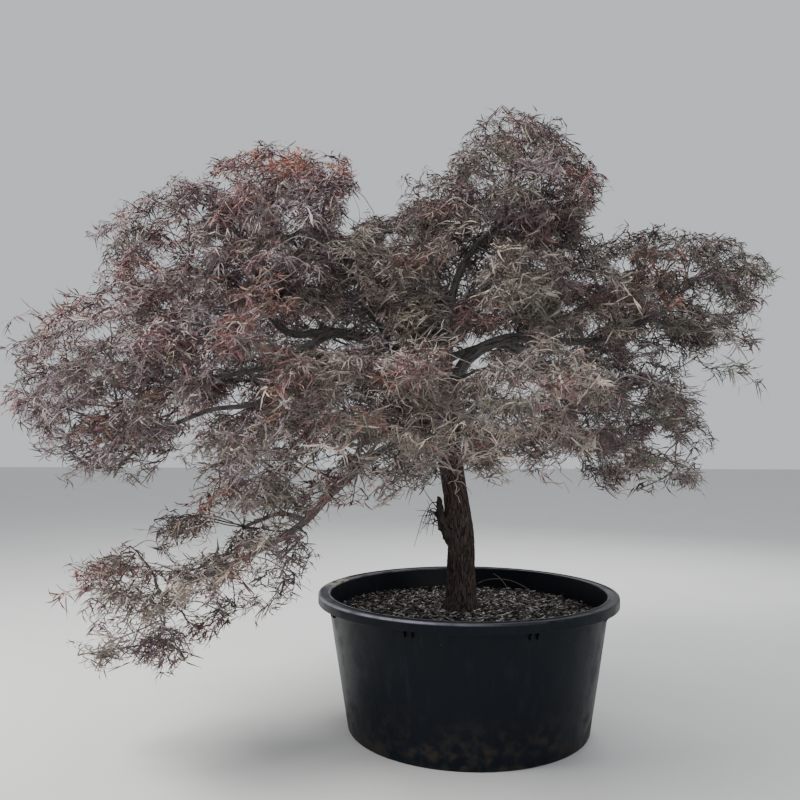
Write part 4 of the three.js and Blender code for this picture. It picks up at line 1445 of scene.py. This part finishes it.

# The leaves
# Dry autumn leaves, each cut nearly to its stalk into narrow, jagged lobes that curl and hang. They
# stand at the ends of the finest twigs and in opposite pairs behind them. Most leaves of a spray
# share one tint, in a darker, a plain and a lighter copy that are painted shade and painted
# highlights. The left masses draw more lighter copies, as painted sunlight. Some leaves have dried
# to a grey brown, and a few differ.
LOBE_ANGLES = np.radians([-84, -40, 0, 40, 84])
LOBE_SHARES = np.array([0.70, 0.92, 1.0, 0.92, 0.70])
LOBE_STATIONS = np.array([0.0, 0.30, 0.38, 0.64, 0.72, 1.0])
LOBE_WIDTHS = np.array([0, -0.044, 0.031, -0.025, 0.038, 0])
LOBE_FACES = np.array([[0, 1, 2], [1, 3, 2], [2, 3, 4], [3, 5, 4]])
LEAF_REACH = 0.067
LEAF_SIZES = (0.72, 1.22)
LEAF_TILT = 0.9
LEAF_DROOPS = (-0.15, 0.65)
FOLDS = (0.62, 1.0)
LOBE_SIZES = (0.8, 1.15)
LOBE_CURL = 1.45
LOBE_DROOPS = (-0.3, 0.35)
LOBE_LEAN = 1.3
STALK_LENGTH = 0.020
STALK_SIZES = (0.7, 1.3)
STALK_WIDTH = 0.0016
TIP_PAIR = (0.012, 1.0)
FURTHER_PAIRS = ((0.040, 1.15), (0.068, 1.15))
PAIR_TURN = 0.95
LEAF_SWING = 0.6
LEAF_RISES = (-0.8, 0.35)
TOP_LEAF_RISE = 0.35
PAIR_SPARE = 0.008
MISSING_SHARE = 0.16
BOX_OVERREACH = 0.022
BOX_SPARE = 0.008
SKIN_OVERREACHES = (0.06, 0.18)
LEAF_ROUGHNESS = 0.62
DRIED_SHARE = 0.20
MIXED_SHARE = 0.22
DRIED_TINT = 2
# Each tint's darker, plain and lighter copy: the darker is painted shade and the lighter painted highlights.
# The sunlit regions draw more lighter copies, as painted sunlight.
PAINTED_SHADE_AND_LIGHT = {"dark": 0.62, "plain": 1.0, "light": 1.5}
SHADE_SHARES = (0.34, 0.42, 0.24)
SUNLIT_SHARES = (0.20, 0.40, 0.40)
SUNLIT_REGIONS = ("left_leaves", "upper_left_leaves")
TINTS = {
    "purple_brown": (0.138, 0.096, 0.106),
    "dark_brown": (0.130, 0.104, 0.092),
    "grey_brown": (0.228, 0.190, 0.172),
    "deep_red": (0.180, 0.090, 0.088),
    "rust": (0.215, 0.122, 0.097),
    "orange_red": (0.350, 0.150, 0.103),
    "olive_grey": (0.155, 0.145, 0.113),
    "bleached": (0.430, 0.370, 0.310),
    "mauve_grey": (0.262, 0.212, 0.228),
}
# How often each tint is drawn, in the order of TINTS. The inner hanging mass and the lower right mass lean
# to darker tints, which is painted shade.
TINT_WEIGHTS = {
    "crown_top": (29, 30, 10, 16, 1, 0, 11, 0.5, 1),
    "right_inner": (15, 31, 16, 13, 2, 0, 21, 2, 0),
    "upper_left": (34, 9, 9, 16, 3, 0.1, 0, 3, 27),
    "front_centre": (10, 20, 30, 9, 2, 0, 17, 10, 3),
    "hang_inner": (21, 23, 19, 13, 8, 0, 12, 3, 1),
    "left_tier": (31, 9, 12, 17, 3, 0, 1, 4, 24),
    "left_outer": (28, 8, 12, 18, 5, 0.1, 1, 4, 25),
    "upper_left_tip": (35, 12, 9, 17, 3, 0, 0, 2, 23),
    "mid_left": (10, 17, 38, 6, 1, 0, 15, 9, 4),
    "centre": (9, 18, 38, 6, 1, 0, 18, 9, 1),
    "right_outer": (15, 30, 17, 14, 2, 0, 20, 2, 0),
    "right_low": (17, 36, 15, 9, 1, 0, 21, 1, 0),
    "front_left": (14, 20, 28, 13, 2, 0, 14, 5, 5),
    "hang_tip": (16, 18, 15, 18, 20, 0.3, 8, 3, 2),
    "fork_left": (9, 18, 40, 5, 0.2, 0, 17, 9, 1),
    "fork_middle": (9, 19, 39, 5, 0.2, 0, 17, 9, 1),
    "tier_cover": (22, 22, 22, 12, 0.5, 0, 6, 4, 12),
}
BACK_WEIGHTS = (26, 25, 19, 15, 2, 0, 9, 2, 4)
# How much more often each tint is drawn near the top of a mass: redder tops, partly autumn colour and partly
# painted sunlight.
TOP_BOOST = np.array([1.0, 0.6, 0.5, 2.2, 8.0, 30.0, 0.3, 0.6, 0.8])
# Patches of one tint, as a place, a radius and the tint
COLOUR_PATCHES = [
    (0.700, -0.200, 1.900, 0.170, "rust"),
    (-0.290, -0.550, 1.400, 0.180, "rust"),
    (-0.610, -0.520, 1.430, 0.120, "deep_red"),
    (0.020, -0.320, 1.640, 0.080, "deep_red"),
    (-0.840, -0.120, 2.370, 0.180, "orange_red"),
    (-0.620, -0.120, 2.370, 0.150, "orange_red"),
    (-0.920, -0.120, 2.300, 0.120, "deep_red"),
    (0.020, -0.780, 1.190, 0.190, "bleached"),
]
PATCH_SHARE = 0.65
REGIONS = {
    "top_leaves": ["crown_top", "back_top"],
    "centre_leaves": ["centre", "mid_left", "fork_left", "fork_middle", "tier_cover"],
    "upper_left_leaves": ["upper_left", "upper_left_tip"],
    "left_leaves": ["left_tier", "left_outer", "back_left_low"],
    "right_leaves": ["right_inner", "right_outer", "right_low"],
    "front_leaves": ["front_centre", "front_left", "hang_inner", "hang_tip"],
    "back_leaves": ["back_left", "back_right", "back_low", "back_right_low"],
}


def spray_tints(spray, count, roll):
    """The tints of a spray's leaves: mostly one, and redder near the top of its mass, partly as autumn
    colour and partly as painted sunlight.
    """
    weights = np.array(TINT_WEIGHTS.get(spray["mass"], BACK_WEIGHTS), float)
    topness = min(max(0.6 * spray["lift"] + 0.4, 0), 1)
    weights *= 1 + (TOP_BOOST - 1) * topness**4
    drawn = roll.choice(len(weights), count + 1, p=weights / weights.sum())
    for *middle, radius, tint in COLOUR_PATCHES:
        if np.linalg.norm(spray["joints"][0] - middle) < radius and roll.random() < PATCH_SHARE:
            drawn[0] = list(TINTS).index(tint)
    fate = roll.random(count)
    tints = np.where(fate < DRIED_SHARE, DRIED_TINT, drawn[0])
    return np.where(fate > 1 - MIXED_SHARE, drawn[1:], tints).tolist()


def leaf_spots(spray, roll):
    """Roots and headings of a spray's leaves: one at each tip and opposite pairs behind it."""
    roots, headings = [], []
    for joint in range(2, len(spray["joints"])):
        here = spray["joints"][joint]
        back = spray["joints"][spray["parents"][joint]] - here
        length = np.linalg.norm(back)
        along = -back / length
        level = (0.55 * along + 0.45 * spray["out"]) * (1, 1, 0.3)
        level /= np.linalg.norm(level)
        beside = np.array([-level[1], level[0], 0])
        beside /= max(np.linalg.norm(beside), 1e-6)
        pairs = [TIP_PAIR] + [pair for pair in FURTHER_PAIRS if length > pair[0] + PAIR_SPARE]
        spots = [(0.0, 0.0)] + [(setback, side * turn) for setback, turn in pairs for side in (-1, 1)]
        for setback, turn in spots:
            if roll.random() < MISSING_SHARE:
                continue
            swing = turn * PAIR_TURN + roll.uniform(-LEAF_SWING, LEAF_SWING)
            heading = level * math.cos(swing) + beside * math.sin(swing)
            heading[2] += roll.uniform(*LEAF_RISES) + TOP_LEAF_RISE * max(spray["lift"], 0)
            roots.append(here - along * setback)
            headings.append(heading / np.linalg.norm(heading))
    return roots, headings


def leaf_corners(roots, ahead, roll):
    """The corners of many leaves at once, as curling lobes and a stalk for each."""
    count = len(roots)
    by_leaf, by_lobe = (count, 1, 1, 1), (count, len(LOBE_ANGLES), 1, 1)
    across = np.cross((0, 0, 1), ahead)
    across /= np.linalg.norm(across, axis=1)[:, None]
    above = np.cross(ahead, across)
    tilt = roll.uniform(-LEAF_TILT, LEAF_TILT, count)[:, None]
    across, above = (
        across * np.cos(tilt) + above * np.sin(tilt), above * np.cos(tilt) - across * np.sin(tilt)
    )
    reach = LEAF_REACH * roll.uniform(*LEAF_SIZES, by_leaf)
    hearts = roots + STALK_LENGTH * ahead * roll.uniform(*STALK_SIZES, count)[:, None]
    along = LOBE_STATIONS[:, None]
    curl = roll.normal(0, LOBE_CURL, by_lobe)
    droop = roll.uniform(*LEAF_DROOPS, by_leaf) + roll.uniform(*LOBE_DROOPS, by_lobe)
    angle = LOBE_ANGLES[:, None, None] * roll.uniform(*FOLDS, by_leaf) + curl * along
    span = reach * LOBE_SHARES[:, None, None] * roll.uniform(*LOBE_SIZES, by_lobe)
    ahead, across, above = (part[:, None, None, :] for part in (ahead, across, above))
    run = span * along * (1 - 0.35 * droop * along)
    middle = run * (np.cos(angle) * ahead + np.sin(angle) * across)
    middle = middle - (0, 0, 1) * span * droop * along**2
    lean = roll.uniform(-LOBE_LEAN, LOBE_LEAN, by_lobe)
    edge = (-np.sin(angle) * ahead + np.cos(angle) * across) * np.cos(lean) + above * np.sin(lean)
    strips = hearts[:, None, None] + middle + edge * reach * LOBE_WIDTHS[:, None]
    half_stalk = across[:, 0, 0] * STALK_WIDTH / 2
    stalk = np.stack([roots - half_stalk, roots + half_stalk, hearts + half_stalk, hearts - half_stalk], 1)
    return np.concatenate([strips.reshape(count, -1, 3), stalk], axis=1)


def leaf_faces(count):
    """Every leaf's triangles, and how many one leaf has."""
    stations = len(LOBE_STATIONS)
    lobes = np.concatenate([LOBE_FACES + stations * lobe for lobe in range(len(LOBE_ANGLES))])
    foot = stations * len(LOBE_ANGLES)
    stalk = np.array([[0, 1, 2], [0, 2, 3]]) + foot
    one = np.concatenate([lobes, stalk])
    return one + (foot + 4) * np.arange(count)[:, None, None], len(one)


def leaves_inside(corners, reaches, roll):
    """Whether each leaf keeps to the crown's skin and the solids' reach, clear of the limbs."""
    lobe_tips = corners[:, len(LOBE_STATIONS) - 1 : -4 : len(LOBE_STATIONS)]
    furthest = outwardness(lobe_tips.reshape(-1, 3)).reshape(len(corners), -1).max(axis=1)
    inside = furthest < reaches + roll.uniform(*SKIN_OVERREACHES, len(corners))
    spare = BOX_OVERREACH * np.array(cad_box[1] - cad_box[0]) + BOX_SPARE
    return inside & in_reach(corners, spare).all(axis=1) & clear_of_limbs(corners[:, 0])


def grow_leaves(region, names, roll):
    """The corners of a region's leaves, and the number of each leaf's finish."""
    roots, headings, tints, reaches = [], [], [], []
    for spray in sprays:
        if spray["mass"] in names and not spray["bare"]:
            spray_roots, spray_headings = leaf_spots(spray, roll)
            roots += spray_roots
            headings += spray_headings
            tints += spray_tints(spray, len(spray_roots), roll)
            reaches += [spray["reach"]] * len(spray_roots)
    corners = leaf_corners(np.array(roots), np.array(headings), roll)
    kept = leaves_inside(corners, np.array(reaches), roll)
    shares = SUNLIT_SHARES if region in SUNLIT_REGIONS else SHADE_SHARES
    shades = roll.choice(len(PAINTED_SHADE_AND_LIGHT), len(corners), p=shares)
    return corners[kept], (np.array(tints) * len(PAINTED_SHADE_AND_LIGHT) + shades)[kept]


# Each tint's finishes: a darker copy for painted shade, the plain tint, and a lighter copy for painted
# highlights.
leaf_finishes = []
for tint, colour in TINTS.items():
    for shade, strength in PAINTED_SHADE_AND_LIGHT.items():
        shaded = tuple(strength * part for part in colour)
        leaf_finishes.append(plain_finish(f"leaf_{tint}_{shade}", shaded, LEAF_ROUGHNESS))
for region, names in REGIONS.items():
    corners, finish_numbers = grow_leaves(region, names, dice(region))
    faces, each = leaf_faces(len(corners))
    places, faces = corners.reshape(-1, 3), faces.reshape(-1, 3)
    finish_numbers = np.repeat(finish_numbers, each)
    leaves = mesh_piece(region, places, faces, leaf_finishes, finish_numbers, smooth=False)
    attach(leaves, "root")
    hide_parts(*[node for node in foliage_nodes if node.removesuffix("_foliage") in names])

# The studio
# A plain pale floor, a soft key light from the upper left, and weaker lights from the other sides.
FLOOR_HALF = 30.0
FLOOR_COLOURS = ((0.60, 0.60, 0.59), (0.66, 0.66, 0.65))
WORLD_COLOUR = (0.86, 0.89, 0.93, 1)
WORLD_STRENGTH = 0.75
LIGHTS_AIM = np.array([-0.2, 0, 1.6])
CAMERA_PITCH = math.radians(2.98)
CAMERA_YAW = math.radians(4.84)
CAMERA_LENS = 35.1
SENSOR_WIDTH = 36.0


def floor_finish():
    """Pale ground with faint clouds in it."""
    finish = Finish("pale_floor", roughness=0.9, specular=0.2)
    cloudy = finish.noise(finish.place(), 2.0, 3.0)
    return finish.done(finish.mix(cloudy, *FLOOR_COLOURS))


floor_places = FLOOR_HALF * np.array([(-1, -1, 0), (1, -1, 0), (1, 1, 0), (-1, 1, 0)])
floor = mesh_piece("floor", floor_places, np.array([[0, 1, 2], [0, 2, 3]]), [floor_finish()])


def soft_light(name, place, power, size, colour=(1, 1, 1)):
    """A square area light that looks at the crown."""
    data = bpy.data.lights.new(name, "AREA")
    data.energy = power
    data.size = size
    data.color = colour
    light = placed(name, data)
    light.location = place
    ahead = LIGHTS_AIM - place
    yaw = math.atan2(ahead[0], -ahead[1])
    pitch = math.atan2(math.hypot(ahead[0], ahead[1]), -ahead[2])
    light.rotation_euler = (pitch, 0, yaw + math.pi)


soft_light("key", (-3.9, -1.5, 4.7), 500, 2.6, (1.0, 0.975, 0.95))
soft_light("back", (1.6, 4.2, 4.6), 240, 3.0)
soft_light("front", (2.6, -4.6, 2.4), 60, 3.4, (0.94, 0.97, 1.0))
world = bpy.data.worlds.new("studio")
bpy.context.scene.world = world
world.use_nodes = True
backdrop = world.node_tree.nodes["Background"].inputs
backdrop["Color"].default_value = WORLD_COLOUR
backdrop["Strength"].default_value = WORLD_STRENGTH

camera_data = bpy.data.cameras.new("camera")
camera_data.lens = CAMERA_LENS
camera_data.sensor_width = SENSOR_WIDTH
camera = placed("camera", camera_data)
camera.location = FRONT_VIEWPOINT
camera.rotation_euler = (math.radians(90) + CAMERA_PITCH, 0, CAMERA_YAW)
bpy.context.scene.camera = camera
